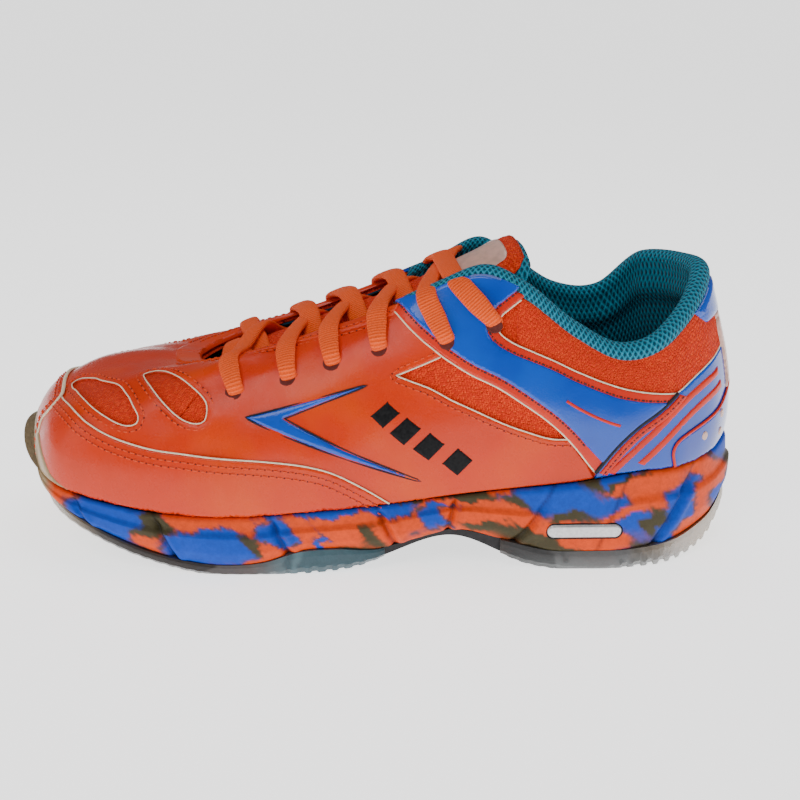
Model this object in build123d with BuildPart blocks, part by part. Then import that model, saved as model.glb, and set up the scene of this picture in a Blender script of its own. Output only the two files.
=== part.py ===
"""Court shoe, left foot: sole unit, stitched upper, padded tongue, lace and removable insole.

Millimetres. Toe towards -X, heel towards +X, lateral (outer) side towards -Y, ground at z = 0.
"""
from build123d import *
from math import hypot, pi, radians, tan
import os

os.makedirs("parts", exist_ok=True)

# ---------------------------------------------------------------- driving dimensions
LATERAL, MEDIAL = -1, 1
SIDES = {LATERAL: "lateral", MEDIAL: "medial"}

# Girth stations of the upper. Each is a vertical section from the feather line, where the upper
# meets the sole, up to the edge of the foot opening. Columns: share of the way from toe centre
# to heel centre; feather point x, y, z; opening point x, y, z; outward bulge and rise of the
# lower half of the section; reach and drop of its upper half.
LATERAL_STATIONS = [
    (0.00, -142, 8, 34, -66, 2, 71, 0, 26, 44, -4),
    (0.07, -137, -14, 31, -64, -6, 70.5, 1, 27, 44, -4),
    (0.16, -121, -34, 29, -58, -13, 70.5, 2, 27, 40, -5),
    (0.27, -92, -46, 25, -42, -17, 76, 3, 28, 34, -3),
    (0.38, -58, -50, 22.5, -20, -19, 85, 4, 28, 26, 6),
    (0.49, -20, -48, 24.5, 4, -22, 95, 4, 30, 18, 14),
    (0.58, 14, -43.5, 27, 25, -26, 106, 4, 30, 10, 22),
    (0.64, 36, -42, 30, 42, -28, 113, 4, 30, 8, 24),
    (0.71, 58, -41, 32.5, 58, -30.5, 107, 3, 26, 6, 24),
    (0.79, 80, -40, 35, 78, -32, 92, 2, 20, 5, 18),
    (0.86, 100, -38, 38.5, 96, -32, 84, 2, 16, 4, 14),
    (0.93, 121, -29, 39, 114, -26, 91, 3, 20, 5, 18),
    (0.97, 134, -15, 41, 125, -13, 102, 4, 22, 6, 22),
    (1.00, 140, 0, 45, 129, 0, 109, 3, 24, 6, 24),
]
MEDIAL_STATIONS = [
    (0.00, -142, 8, 34, -66, 2, 71, 0, 26, 44, -4),
    (0.07, -139, 28, 31, -65, 9, 71, 1, 25, 42, -2),
    (0.16, -123, 40, 29, -60, 16, 71.5, 2, 24, 36, 1),
    (0.27, -92, 47, 25, -43, 20, 78, 3, 27, 28, 5),
    (0.38, -58, 47, 22.5, -21, 22, 86, 3, 29, 22, 11),
    (0.49, -20, 43, 24.5, 3, 25, 95, 2, 34, 18, 14),
    (0.58, 14, 37, 27, 27, 27, 105.5, 3, 34, 10, 22),
    (0.64, 36, 35, 30, 42, 28, 112.5, 4, 30, 8, 24),
    (0.71, 58, 35, 32.5, 57, 30, 104, 4, 26, 6, 24),
    (0.79, 80, 36, 35, 75, 31, 93, 3, 22, 5, 20),
    (0.86, 100, 36, 38.5, 92, 31, 92.5, 2, 20, 4, 20),
    (0.93, 121, 29, 39, 111, 28.5, 107, 3, 24, 5, 24),
    (0.97, 134, 15, 41, 124, 15, 109, 4, 24, 6, 24),
    (1.00, 140, 0, 45, 129, 0, 109, 3, 24, 6, 24),
]
TOE_JOIN = 0.31           # station where the vamp is sewn to the quarters
QUARTER_START = 0.314     # first station of the quarters, just behind that seam
HEEL_JOIN = 0.84          # station where the quarters meet the heel piece
COLLAR_START = 0.76       # station where the padded collar begins
GRID = 0.03               # spacing of the stations that every layer is lofted through

# Depths of the layers, outer face then inner face, measured inwards (-) from the mesh's outside.
MESH = (0.0, -1.4)
TOE_PUFF = (-1.7, -2.5)
VAMP_LINING = (-2.9, -3.6)
QUARTER_LINING = (-1.7, -2.4)
HEEL_COUNTER = (-1.8, -3.0)
HEEL_LINING = (-3.4, -4.1)
COLLAR_FOAM = (-2.2, -6.6)
ANKLE_LINING = (-7.6, -8.3)
OVERLAY = (1.1, 0.3)
TRIM = (2.2, 1.4)
RAISED = (3.1, 2.5)

# Sole unit, as heights of its side view
OUTSOLE_FOREFOOT_X = (-145, 6)
SHANK_X = (6.3, 51.7)
OUTSOLE_HEEL_X = (52, 145)
FOOTBED_DROP = 0.2        # clearance between stacked sole layers
BOARD_THICK = 1.5
SOCKLINER_THICK = 4.0
SOLE_HEIGHT = 60          # taller than any sole layer, for cutting prisms

# Lace
LACE_DIAMETER = 3.0
EYELET_RADIUS = 3.0
EYELETS = [(0.359, 0.60), (0.418, 0.66), (0.469, 0.71), (0.525, 0.75), (0.611, 0.70), (0.667, 0.77)]
STRAND_ABOVE = 4.1        # lace centre over the trim
STRAND_BELOW = -4.3       # lace centre under the lining

# Tongue sections across the shoe: x, height of the crown, half width, drop at the edges
TONGUE_STATIONS = [
    (-56, 69.0, 15, 6), (-40, 76.0, 20, 11), (-20, 84.0, 23, 14), (4, 93.5, 25, 16),
    (25, 104.0, 26, 16), (42, 112.5, 24, 12), (54, 119.5, 21, 7),
]

made = []


def finish(part, name):
    """Label a finished sub-part and write it."""
    part.label = name
    export_step(part, f"parts/{name}.step")
    made.append(name)


# ---------------------------------------------------------------- shape of the upper
def slopes(rows, other):
    """Tangent of every station column; toe and heel centre get one tangent for both sides."""
    result = []
    last = len(rows) - 1
    for i, row in enumerate(rows):
        if i == 0 or i == last:
            near, far = (rows[1], other[1]) if i == 0 else (rows[-2], other[-2])
            span = near[0] + far[0] - 2 * row[0]
            result.append([(a - b) / span for a, b in zip(near[1:], far[1:])])
            continue
        before, after = rows[i - 1], rows[i + 1]
        h0, h1 = row[0] - before[0], after[0] - row[0]
        result.append([((b - a) / h0 * h1 + (c - b) / h1 * h0) / (h0 + h1)
                       for a, b, c in zip(before[1:], row[1:], after[1:])])
    return result


TABLES = {
    LATERAL: (LATERAL_STATIONS, slopes(LATERAL_STATIONS, MEDIAL_STATIONS)),
    MEDIAL: (MEDIAL_STATIONS, slopes(MEDIAL_STATIONS, LATERAL_STATIONS)),
}


def station(side, u):
    """Smoothly interpolated station columns at share u."""
    rows, tangents = TABLES[side]
    u = min(max(u, 0.0), 1.0)
    i = max(k for k in range(len(rows) - 1) if rows[k][0] <= u)
    h = rows[i + 1][0] - rows[i][0]
    t = (u - rows[i][0]) / h
    weights = (2 * t**3 - 3 * t**2 + 1, (t**3 - 2 * t**2 + t) * h,
               3 * t**2 - 2 * t**3, (t**3 - t**2) * h)
    columns = zip(rows[i][1:], tangents[i], rows[i + 1][1:], tangents[i + 1])
    return [sum(w * c for w, c in zip(weights, column)) for column in columns]


def section_curve(row, v, depth):
    """Point at height share v, moved out by depth, as (reach from the opening point, height)."""
    fx, fy, fz, tx, ty, tz, bulge, rise, reach, drop = row
    length = hypot(fx - tx, fy - ty)
    reaches = (length, length + bulge, reach, 0)
    heights = (fz, fz + rise, tz - drop, tz)
    w = ((1 - v)**3, 3 * (1 - v)**2 * v, 3 * (1 - v) * v**2, v**3)
    dw = (-3 * (1 - v)**2, 3 * (1 - v)**2 - 6 * (1 - v) * v, 6 * (1 - v) * v - 3 * v**2, 3 * v**2)
    da, dz = (sum(k * c for k, c in zip(dw, values)) for values in (reaches, heights))
    a, z = (sum(k * c for k, c in zip(w, values)) for values in (reaches, heights))
    size = hypot(da, dz)
    return a + dz / size * depth, z - da / size * depth


def section_plane(row):
    """Vertical plane through the feather and opening points of a station."""
    fx, fy, _, tx, ty = row[:5]
    length = hypot(fx - tx, fy - ty)
    x_dir = Vector((fx - tx) / length, (fy - ty) / length, 0)
    return Plane(origin=(tx, ty, 0), x_dir=x_dir, z_dir=(x_dir.Y, -x_dir.X, 0))


def surface_point(side, u, v, depth=0.0):
    """Point of the upper in space."""
    row = station(side, u)
    a, z = section_curve(row, v, depth)
    return section_plane(row).from_local_coords(Vector(a, z, 0))


def surface_normal(side, u, v):
    """Outward normal of the upper."""
    step = 0.004
    along = surface_point(side, u + step, v) - surface_point(side, u - step, v)
    up = surface_point(side, u, v + step) - surface_point(side, u, v - step)
    return (along.cross(up) * side).normalized()


def edge_value(edge, u):
    """Height share of a piece's edge at share u: a number, or points joined by straight lines."""
    if not isinstance(edge, list):
        return edge
    if u <= edge[0][0]:
        return edge[0][1]
    for (u0, v0), (u1, v1) in zip(edge, edge[1:]):
        if u <= u1:
            return v0 + (v1 - v0) * (u - u0) / (u1 - u0)
    return edge[-1][1]


def lay_strip(stations, low, high, layer, across=6):
    """Loft one layer of the upper through sections; stations are (side, share) pairs."""
    sections = []
    for side, u in stations:
        row = station(side, u)
        v0, v1 = edge_value(low, u), edge_value(high, u)
        heights = [v0 + (v1 - v0) * k / across for k in range(across + 1)]
        outer = [section_curve(row, v, layer[0]) for v in heights]
        inner = [section_curve(row, v, layer[1]) for v in reversed(heights)]
        with BuildSketch(section_plane(row)) as section:
            with BuildLine():
                Spline(*outer)
                Line(outer[-1], inner[0])
                Spline(*inner)
                Line(inner[-1], outer[0])
            make_face()
        sections.append(section.sketch)
    loft(sections)


def along(side, start, end):
    """Stations of one side between two shares, on the grid that all layers use."""
    inner = [k * GRID for k in range(round(1 / GRID) + 1)
             if start + GRID / 2 < k * GRID < end - GRID / 2]
    return [(side, u) for u in [start] + inner + [end]]


def around_toe(reach):
    """Stations from the lateral side round the toe to the medial side."""
    return along(LATERAL, 0, reach)[::-1] + along(MEDIAL, 0, reach)[1:]


def around_heel(start):
    """Stations from the lateral side round the heel to the medial side."""
    return along(LATERAL, start, 1) + along(MEDIAL, start, 1)[-2::-1]


def punch_eyelets(side, count=len(EYELETS)):
    """Cut the lace holes out of the part being built."""
    for u, v in EYELETS[:count]:
        hole = Plane(origin=surface_point(side, u, v), z_dir=surface_normal(side, u, v))
        with Locations(hole.location):
            Cylinder(EYELET_RADIUS, 14, mode=Mode.SUBTRACT)


# ---------------------------------------------------------------- sole unit
def plan_outline(grow):
    """Outline of the sole seen from above: the feather line, grown outwards."""
    shares = [0.0, 0.04, 0.09, 0.16, 0.27, 0.38, 0.49, 0.6, 0.71, 0.82, 0.91, 0.96]
    ring = [(LATERAL, u) for u in shares] + [(MEDIAL, u) for u in [1.0] + shares[:0:-1]]
    feather = [Vector(*station(side, u)[:2]) for side, u in ring]
    points = []
    for i, point in enumerate(feather):
        run = feather[(i + 1) % len(feather)] - feather[i - 1]
        points.append(point + Vector(run.Y, -run.X).normalized() * grow)
    return points


def sole_layer(grow, side_view):
    """Solid between a plan outline and a side view, given as runs of points joined smoothly."""
    with BuildSketch() as plan:
        with BuildLine():
            Spline(*plan_outline(grow), periodic=True)
        make_face()
    extrude(plan.sketch, amount=SOLE_HEIGHT)
    with BuildSketch(Plane.XZ) as profile:
        with BuildLine():
            for run, following in zip(side_view, side_view[1:] + side_view[:1]):
                if len(run) > 2:
                    Spline(*run)
                else:
                    Line(*run)
                if run[-1] != following[0]:
                    Line(run[-1], following[0])
        make_face()
    extrude(profile.sketch, amount=SOLE_HEIGHT * 2, both=True, mode=Mode.INTERSECT)


def lowered(points, drop):
    """The same run of points, moved down."""
    return [(x, z - drop) for x, z in points]


def keep_between(span):
    """Keep only what lies between two X positions."""
    with Locations(((span[0] + span[1]) / 2, 0, 0)):
        Box(span[1] - span[0], SOLE_HEIGHT * 4, SOLE_HEIGHT * 4, mode=Mode.INTERSECT)


TOE_SPRING = [(-146, 32.6), (-137, 25), (-123, 17.5), (-104, 9.6), (-79, 2.8), (-62, 0)]
FOREFOOT_GROUND = [(-62, 0), (-22, 0)]
ARCH = [(-22, 0), (-2, 2.4), (14, 8.4), (33, 13.2), (50, 7), (60, 2.6), (72, 0)]
HEEL_GROUND = [(72, 0), (112, 0)]
HEEL_ROCKER = [(112, 0), (124, 1.6), (133, 5), (140, 11.5), (146, 19.5)]
PARTING_TOE = [(-131.5, 28.4), (-120, 22.4), (-103, 14.6), (-79, 7), (-52, 3.4)]
PARTING_MIDDLE = [(-52, 3.4), (-38, 4.6), (-25, 8.6), (-12, 9.4), (4, 8.6), (20, 12.8), (34, 16)]
PARTING_HEEL = [(34, 16), (51, 12), (69, 7.6), (90, 7.2), (106, 7.6), (127, 11), (138, 16), (146, 24)]
WALL_TOP = [(146, 44.4), (134, 40.6), (121, 38.6), (100, 37.8), (80, 34.6), (58, 32), (36, 29.4),
            (14, 26.6), (-20, 24), (-58, 22), (-92, 24), (-121, 27.8), (-131.5, 29.4)]
FOOTBED = [(-126, 27), (-116, 22.4), (-100, 17), (-78, 13), (-55, 12), (0, 14.4), (40, 18.6),
           (80, 21), (133, 23)]
parting = [PARTING_TOE, PARTING_MIDDLE, PARTING_HEEL]
outsole_view = ([TOE_SPRING, FOREFOOT_GROUND, ARCH, HEEL_GROUND, HEEL_ROCKER]
                + [lowered(run[::-1], FOOTBED_DROP) for run in reversed(parting)]
                + [[(-132.5, 28.8), (-146, 32.6)]])

with BuildPart() as outsole_forefoot:
    sole_layer(3.0, outsole_view)
    keep_between(OUTSOLE_FOREFOOT_X)
finish(outsole_forefoot.part, "outsole_forefoot")

with BuildPart() as arch_shank:
    sole_layer(1.0, outsole_view)
    keep_between(SHANK_X)
finish(arch_shank.part, "arch_shank")

with BuildPart() as outsole_heel:
    sole_layer(3.0, outsole_view)
    keep_between(OUTSOLE_HEEL_X)
finish(outsole_heel.part, "outsole_heel")

BADGE_CENTRE = (83, 16)
BADGE_SIZE = (29, 5.5)
BADGE_THICK = 3.0
WALL_THICK = 5.0

with BuildPart() as midsole:
    sole_layer(2.5, parting + [WALL_TOP])
    with BuildPart(mode=Mode.PRIVATE) as bed:
        sole_layer(-WALL_THICK, [FOOTBED, [(133, SOLE_HEIGHT), (-126, SOLE_HEIGHT)]])
    add(bed.part, mode=Mode.SUBTRACT)
    with BuildSketch(Plane.XZ.offset(36)) as recess:
        with Locations(BADGE_CENTRE):
            SlotOverall(*BADGE_SIZE)
    extrude(recess.sketch, amount=20, mode=Mode.SUBTRACT)
finish(midsole.part, "midsole")

with BuildPart() as midsole_badge:
    with BuildSketch(Plane.XZ.offset(36.2)) as plate:
        with Locations(BADGE_CENTRE):
            SlotOverall(BADGE_SIZE[0] - 0.6, BADGE_SIZE[1] - 0.6)
    extrude(plate.sketch, amount=BADGE_THICK)
finish(midsole_badge.part, "midsole_badge")


def bed_layer(grow, bottom, thick):
    """Sheet that follows the footbed, from its height above the foam to its thickness."""
    low = lowered(FOOTBED, -bottom)
    high = lowered(FOOTBED, -bottom - thick)[::-1]
    sole_layer(grow, [low, high])


with BuildPart() as lasting_board:
    bed_layer(-WALL_THICK - 0.6, FOOTBED_DROP, BOARD_THICK)
finish(lasting_board.part, "lasting_board")

with BuildPart() as sockliner:
    bed_layer(-WALL_THICK - 3.4, FOOTBED_DROP + BOARD_THICK + 0.3, SOCKLINER_THICK)
finish(sockliner.part, "sockliner")

# ---------------------------------------------------------------- base of the upper
with BuildPart() as vamp_mesh:
    lay_strip(around_toe(TOE_JOIN), 0.0, 1.0, MESH)
finish(vamp_mesh.part, "vamp_mesh")

with BuildPart() as toe_puff:
    lay_strip(around_toe(0.2), 0.03, 0.6, TOE_PUFF)
finish(toe_puff.part, "toe_puff")

with BuildPart() as vamp_lining:
    lay_strip(around_toe(TOE_JOIN), 0.02, 0.98, VAMP_LINING)
finish(vamp_lining.part, "vamp_lining")

with BuildPart() as heel_mesh:
    lay_strip(around_heel(HEEL_JOIN + 0.004), 0.0, 1.0, MESH)
finish(heel_mesh.part, "heel_mesh")

with BuildPart() as heel_counter:
    lay_strip(around_heel(0.87), 0.03, 0.48, HEEL_COUNTER)
finish(heel_counter.part, "heel_counter")

with BuildPart() as heel_lining:
    lay_strip(around_heel(0.84), 0.02, 0.5, HEEL_LINING)
finish(heel_lining.part, "heel_lining")

with BuildPart() as collar_foam:
    lay_strip(around_heel(COLLAR_START), 0.53, 0.96, COLLAR_FOAM)
finish(collar_foam.part, "collar_foam")

with BuildPart() as ankle_lining:
    lay_strip(around_heel(COLLAR_START), 0.52, 0.96, ANKLE_LINING)
finish(ankle_lining.part, "ankle_lining")

for side, name in SIDES.items():
    with BuildPart() as quarter_mesh:
        lay_strip(along(side, QUARTER_START, HEEL_JOIN), 0.0, 1.0, MESH)
        punch_eyelets(side)
    finish(quarter_mesh.part, f"quarter_mesh_{name}")

    with BuildPart() as quarter_lining:
        top = [(COLLAR_START - 0.03, 0.98), (COLLAR_START, 0.5), (0.83, 0.5)]
        lay_strip(along(side, QUARTER_START, 0.83), 0.02, top, QUARTER_LINING)
        punch_eyelets(side)
    finish(quarter_lining.part, f"quarter_lining_{name}")

# ---------------------------------------------------------------- overlays
BAND_FRONT = [(0.52, 0.98), (0.56, 0.80), (0.59, 0.69), (0.62, 0.60), (0.645, 0.525), (0.714, 0.425),
              (0.752, 0.348), (0.781, 0.241), (0.81, 0.02)]
BAND_REAR = [(0.52, 1.0), (0.69, 1.0), (0.70, 0.71), (0.724, 0.70), (0.768, 0.715), (0.818, 0.70),
             (0.847, 0.68), (0.886, 0.62), (0.915, 0.56)]
HEEL_SEAM = [(0.795, 0.02), (0.815, 0.115), (0.864, 0.364), (0.915, 0.56)]
COLLAR_LOW = [(0.70, 0.73), (0.768, 0.735), (0.847, 0.70), (0.915, 0.58), (0.964, 0.48), (1.0, 0.36)]
HEEL_HIGH = HEEL_SEAM + [(0.964, 0.45), (1.0, 0.33)]
MUDGUARD_TOP = [(0.10, 0.42), (0.13, 0.415), (0.196, 0.352), (0.244, 0.309), (0.297, 0.285),
                (0.409, 0.26), (0.487, 0.20), (0.543, 0.08), (0.565, 0.03)]
EYESTAY_LOW = [(0.32, 0.66), (0.359, 0.50), (0.418, 0.56), (0.525, 0.66), (0.545, 0.86)]
CORNER_TOP = [(0.90, 0.0), (0.911, 0.10), (0.922, 0.215), (0.944, 0.24), (1.0, 0.295)]

# Openings of the vamp overlay and of the quarters, as centre, size and turn seen from above
# (leaf windows) and from the side (quarter window).
LEAVES = [((-102, 26), (20, 5.5), 40), ((-72, 33.5), (16, 5), 38)]
WINDOW = [(11, 74.5), (27, 81), (45, 74.5), (57, 67), (76, 52), (57, 55), (33, 64)]

with BuildPart() as vamp_overlay:
    lay_strip(around_toe(TOE_JOIN), 0.0, 0.99, OVERLAY)
    for y_sign in SIDES:
        for (x, y), size, turn in LEAVES:
            with BuildSketch(Plane.XY.offset(40)) as leaf:
                with Locations(Location((x, y * y_sign), turn * y_sign)):
                    Ellipse(*size)
            extrude(leaf.sketch, amount=SOLE_HEIGHT, mode=Mode.SUBTRACT)
finish(vamp_overlay.part, "vamp_overlay")

with BuildPart() as toe_tip:
    lay_strip(around_toe(0.09), 0.0, 0.43, TRIM)
finish(toe_tip.part, "toe_tip")

with BuildPart() as heel_overlay:
    lay_strip(around_heel(0.80), 0.0, HEEL_HIGH, OVERLAY)
finish(heel_overlay.part, "heel_overlay")

with BuildPart() as heel_corner:
    lay_strip(around_heel(0.905), 0.0, CORNER_TOP, TRIM)
finish(heel_corner.part, "heel_corner")

with BuildPart() as collar_panel:
    lay_strip(around_heel(0.702), COLLAR_LOW, 0.98, OVERLAY)
finish(collar_panel.part, "collar_panel")

with BuildPart() as heel_tab:
    lay_strip(around_heel(0.965), 0.78, 1.0, TRIM)
finish(heel_tab.part, "heel_tab")

with BuildPart() as backstay:
    lay_strip(around_heel(0.985), 0.31, 0.77, TRIM)
finish(backstay.part, "backstay")

CHEVRON = [(-44, 59.5), (0, 72), (-31, 59), (21, 35.5)]
MARK_CENTRES = [(8, 58.5), (17, 54.2), (26, 49.9), (35, 45.6)]
MARK_SIZE = 4.2
CUT_DEPTH = 80


def keep_side(side, sketch):
    """Keep only what lies behind a side-view sketch, on one side of the shoe."""
    extrude(sketch, amount=-side * CUT_DEPTH, mode=Mode.INTERSECT)


for side, name in SIDES.items():
    with BuildPart() as side_overlay:
        top = [(0.55, 0.99)] + BAND_FRONT[1:-1] + [(0.80, 0.05)]
        lay_strip(along(side, QUARTER_START, 0.795), 0.0, top, OVERLAY)
        with BuildSketch(Plane.XZ) as window:
            with BuildLine():
                Spline(*WINDOW, periodic=True)
            make_face()
        extrude(window.sketch, amount=-side * CUT_DEPTH, mode=Mode.SUBTRACT)
        punch_eyelets(side)
    finish(side_overlay.part, f"side_overlay_{name}")

    with BuildPart() as mudguard:
        lay_strip(along(side, 0.10, 0.56), 0.0, MUDGUARD_TOP, TRIM)
    finish(mudguard.part, f"mudguard_{name}")

    with BuildPart() as eyestay:
        lay_strip(along(side, 0.325, 0.54), EYESTAY_LOW, 0.99, TRIM)
        punch_eyelets(side)
    finish(eyestay.part, f"eyestay_{name}")

    with BuildPart() as ankle_band:
        low = BAND_FRONT[1:-1] + [(0.80, 0.06)] + [(u + 0.003, v) for u, v in HEEL_SEAM[1:]]
        lay_strip(along(side, 0.55, 0.90), low, BAND_REAR, TRIM)
        punch_eyelets(side)
    finish(ankle_band.part, f"ankle_band_{name}")

    with BuildPart() as chevron:
        lay_strip(along(side, 0.38, 0.62), 0.05, 0.62, RAISED)
        with BuildSketch(Plane.XZ) as outline:
            with BuildLine():
                Polyline(*CHEVRON, close=True)
            make_face()
        keep_side(side, outline.sketch)
    finish(chevron.part, f"chevron_{name}")

    with BuildPart() as side_mark:
        lay_strip(along(side, 0.53, 0.68), 0.05, 0.55, RAISED)
        with BuildSketch(Plane.XZ) as diamonds:
            with Locations(*MARK_CENTRES):
                Rectangle(MARK_SIZE, MARK_SIZE, rotation=45)
        keep_side(side, diamonds.sketch)
    finish(side_mark.part, f"side_mark_{name}")


# ---------------------------------------------------------------- tongue
def tongue_layer(top, bottom, trim):
    """Loft one layer of the tongue, trim millimetres narrower than the face."""
    sections = []
    for x, crown, half, drop in TONGUE_STATIONS:
        reach = half - trim
        with BuildSketch(Plane(origin=(x, 0, 0), x_dir=(0, 1, 0), z_dir=(1, 0, 0))) as section:
            with BuildLine():
                ends = [crown - drop * (reach / half)**2 + level for level in (top, bottom)]
                Spline((-reach, ends[0]), (0, crown + top), (reach, ends[0]))
                Line((reach, ends[0]), (reach, ends[1]))
                Spline((reach, ends[1]), (0, crown + bottom), (-reach, ends[1]))
                Line((-reach, ends[1]), (-reach, ends[0]))
            make_face()
        sections.append(section.sketch)
    loft(sections)


TONGUE_FACE = (0.0, -1.2)
TONGUE_FOAM = (-1.4, -5.0)
TONGUE_LINING = (-5.2, -6.0)
LABEL_LENGTH = 13
LABEL_WIDTH = 30

with BuildPart() as tongue_face:
    tongue_layer(*TONGUE_FACE, 0)
finish(tongue_face.part, "tongue_face")

with BuildPart() as tongue_foam:
    tongue_layer(*TONGUE_FOAM, 1.0)
finish(tongue_foam.part, "tongue_foam")

with BuildPart() as tongue_lining:
    tongue_layer(*TONGUE_LINING, 1.0)
finish(tongue_lining.part, "tongue_lining")

with BuildPart() as tongue_label:
    tongue_layer(0.8, 0.2, 0)
    with Locations((TONGUE_STATIONS[-1][0] - 1 - LABEL_LENGTH / 2, 0, 115)):
        Box(LABEL_LENGTH, LABEL_WIDTH, SOLE_HEIGHT, mode=Mode.INTERSECT)
finish(tongue_label.part, "tongue_label")

# ---------------------------------------------------------------- lace
# Where each strand leaves over the opening edge on its way up from an eyelet, and where the
# strand that arrives at an eyelet dives under that edge, as shares along the opening.
LEAVE = [0.24, 0.345, 0.415, 0.497, 0.57, 0.61]
ARRIVE = [0.20, 0.285, 0.38, 0.46, 0.535]
EDGE = 0.98
HUMP_REACH = 5            # half distance between the two top points of a strand
LOW_STRAND = 2.3          # lace centre over the tongue's crown
HIGH_STRAND = 6.0
AGLET_LENGTH = 18
AGLET_DIAMETER = 3.6
TAIL = [(0.655, 0.60), (0.635, 0.47), (0.60, 0.36)]
TAIL_DEPTH = -5.2


def crown_height(x):
    """Height of the tongue's crown at x."""
    for (x0, z0, *_), (x1, z1, *_) in zip(TONGUE_STATIONS, TONGUE_STATIONS[1:]):
        if x <= x1:
            return z0 + (z1 - z0) * (x - x0) / (x1 - x0)
    return TONGUE_STATIONS[-1][1]


def hump(start, end, height):
    """Two points that carry a strand over the middle of the tongue."""
    middle = (start + end) / 2
    step = Vector(end.X - start.X, end.Y - start.Y, 0).normalized() * HUMP_REACH
    top = Vector(middle.X, middle.Y, crown_height(middle.X) + height)
    return [top - step, top + step]


def lace_half(side):
    """Route of one end of the lace, from its lowest eyelet up to its tail."""
    points = []
    for i, (u, v) in enumerate(EYELETS[:-1]):
        points += [surface_point(side, u, v, STRAND_BELOW), surface_point(side, u, v, STRAND_ABOVE)]
        leave = surface_point(side, LEAVE[i], EDGE, STRAND_ABOVE)
        last = i == len(EYELETS) - 2
        if last:
            arrive = surface_point(-side, LEAVE[-1], EDGE, STRAND_ABOVE)
        else:
            arrive = surface_point(-side, ARRIVE[i + 1], EDGE, STRAND_BELOW)
        over = (side == MEDIAL) != (i == 0)
        points += [leave] + hump(leave, arrive, HIGH_STRAND if over else LOW_STRAND) + [arrive]
        side = -side
    u, v = EYELETS[-1]
    points += [surface_point(side, u, v, STRAND_ABOVE), surface_point(side, u, v, STRAND_BELOW)]
    return points + [surface_point(side, u, v, TAIL_DEPTH) for u, v in TAIL]


bar = [surface_point(side, ARRIVE[0], EDGE, STRAND_BELOW) for side in SIDES]
route = lace_half(LATERAL)[::-1] + [bar[0]] + hump(*bar, LOW_STRAND) + [bar[1]] + lace_half(MEDIAL)


def corner_radii(points):
    """Largest arc for each corner of a route: 0.45 of its shorter run over tan(turn / 2)."""
    radii = []
    for before, corner, after in zip(points, points[1:], points[2:]):
        run_in, run_out = corner - before, after - corner
        turn = radians(run_in.get_angle(run_out))
        radii.append(0.45 * min(run_in.length, run_out.length) / tan(turn / 2))
    return radii


radii = corner_radii(route)
print("lace arc radii", [round(r, 1) for r in radii])

with BuildPart() as lace:
    with BuildLine() as lace_path:
        FilletPolyline(*route, radius=radii)
    with BuildSketch(Plane(origin=lace_path.line @ 0, z_dir=lace_path.line % 0)):
        Circle(LACE_DIAMETER / 2)
    sweep()
finish(lace.part, "lace")
lace_length = sum(edge.length for edge in lace_path.line.edges())
section_area = pi * (LACE_DIAMETER / 2)**2
print("lace length", round(lace_length), "volume over section times length",
      round(lace.part.volume / (section_area * lace_length), 4))

with BuildPart() as aglets:
    for tip, inner in ((route[0], route[1]), (route[-1], route[-2])):
        away = (tip - inner).normalized()
        with Locations(Plane(origin=tip + away * (AGLET_LENGTH / 2 + 0.1), z_dir=away).location):
            Cylinder(AGLET_DIAMETER / 2, AGLET_LENGTH)
finish(aglets.part, "aglets")

print(len(made), "sub-parts")
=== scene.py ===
from math import cos, hypot, pi, radians, sin

import bpy
import numpy as np
from mathutils import Matrix, Vector, kdtree
from mathutils.geometry import delaunay_2d_cdt


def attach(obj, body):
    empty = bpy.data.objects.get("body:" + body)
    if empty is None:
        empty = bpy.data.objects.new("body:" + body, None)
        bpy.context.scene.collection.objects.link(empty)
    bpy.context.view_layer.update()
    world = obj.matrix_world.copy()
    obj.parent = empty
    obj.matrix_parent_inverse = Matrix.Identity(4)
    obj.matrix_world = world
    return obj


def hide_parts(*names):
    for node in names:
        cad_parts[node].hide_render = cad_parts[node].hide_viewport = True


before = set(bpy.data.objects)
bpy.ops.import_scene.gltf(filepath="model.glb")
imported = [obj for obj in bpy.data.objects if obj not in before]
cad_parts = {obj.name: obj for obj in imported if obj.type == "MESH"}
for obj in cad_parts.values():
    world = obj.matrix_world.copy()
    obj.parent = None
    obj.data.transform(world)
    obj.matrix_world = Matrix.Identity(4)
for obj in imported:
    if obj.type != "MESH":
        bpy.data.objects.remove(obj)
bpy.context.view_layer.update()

MM = 0.001
LATERAL, MEDIAL = -1, 1
SIDES = {LATERAL: "lateral", MEDIAL: "medial"}
SHOE, TONGUE = "shoe", "tongue"

# ------------------------------------------------------------------ shape of the upper (mm)
# Girth stations, the same as in the CAD model: share from toe centre to heel centre; feather point
# x, y, z; opening point x, y, z; bulge and rise of the lower half, reach and drop of the upper half.
LATERAL_STATIONS = [
    (0.00, -142, 8, 34, -66, 2, 71, 0, 26, 44, -4),
    (0.07, -137, -14, 31, -64, -6, 70.5, 1, 27, 44, -4),
    (0.16, -121, -34, 29, -58, -13, 70.5, 2, 27, 40, -5),
    (0.27, -92, -46, 25, -42, -17, 76, 3, 28, 34, -3),
    (0.38, -58, -50, 22.5, -20, -19, 85, 4, 28, 26, 6),
    (0.49, -20, -48, 24.5, 4, -22, 95, 4, 30, 18, 14),
    (0.58, 14, -43.5, 27, 25, -26, 106, 4, 30, 10, 22),
    (0.64, 36, -42, 30, 42, -28, 113, 4, 30, 8, 24),
    (0.71, 58, -41, 32.5, 58, -30.5, 107, 3, 26, 6, 24),
    (0.79, 80, -40, 35, 78, -32, 92, 2, 20, 5, 18),
    (0.86, 100, -38, 38.5, 96, -32, 84, 2, 16, 4, 14),
    (0.93, 121, -29, 39, 114, -26, 91, 3, 20, 5, 18),
    (0.97, 134, -15, 41, 125, -13, 102, 4, 22, 6, 22),
    (1.00, 140, 0, 45, 129, 0, 109, 3, 24, 6, 24),
]
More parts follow.
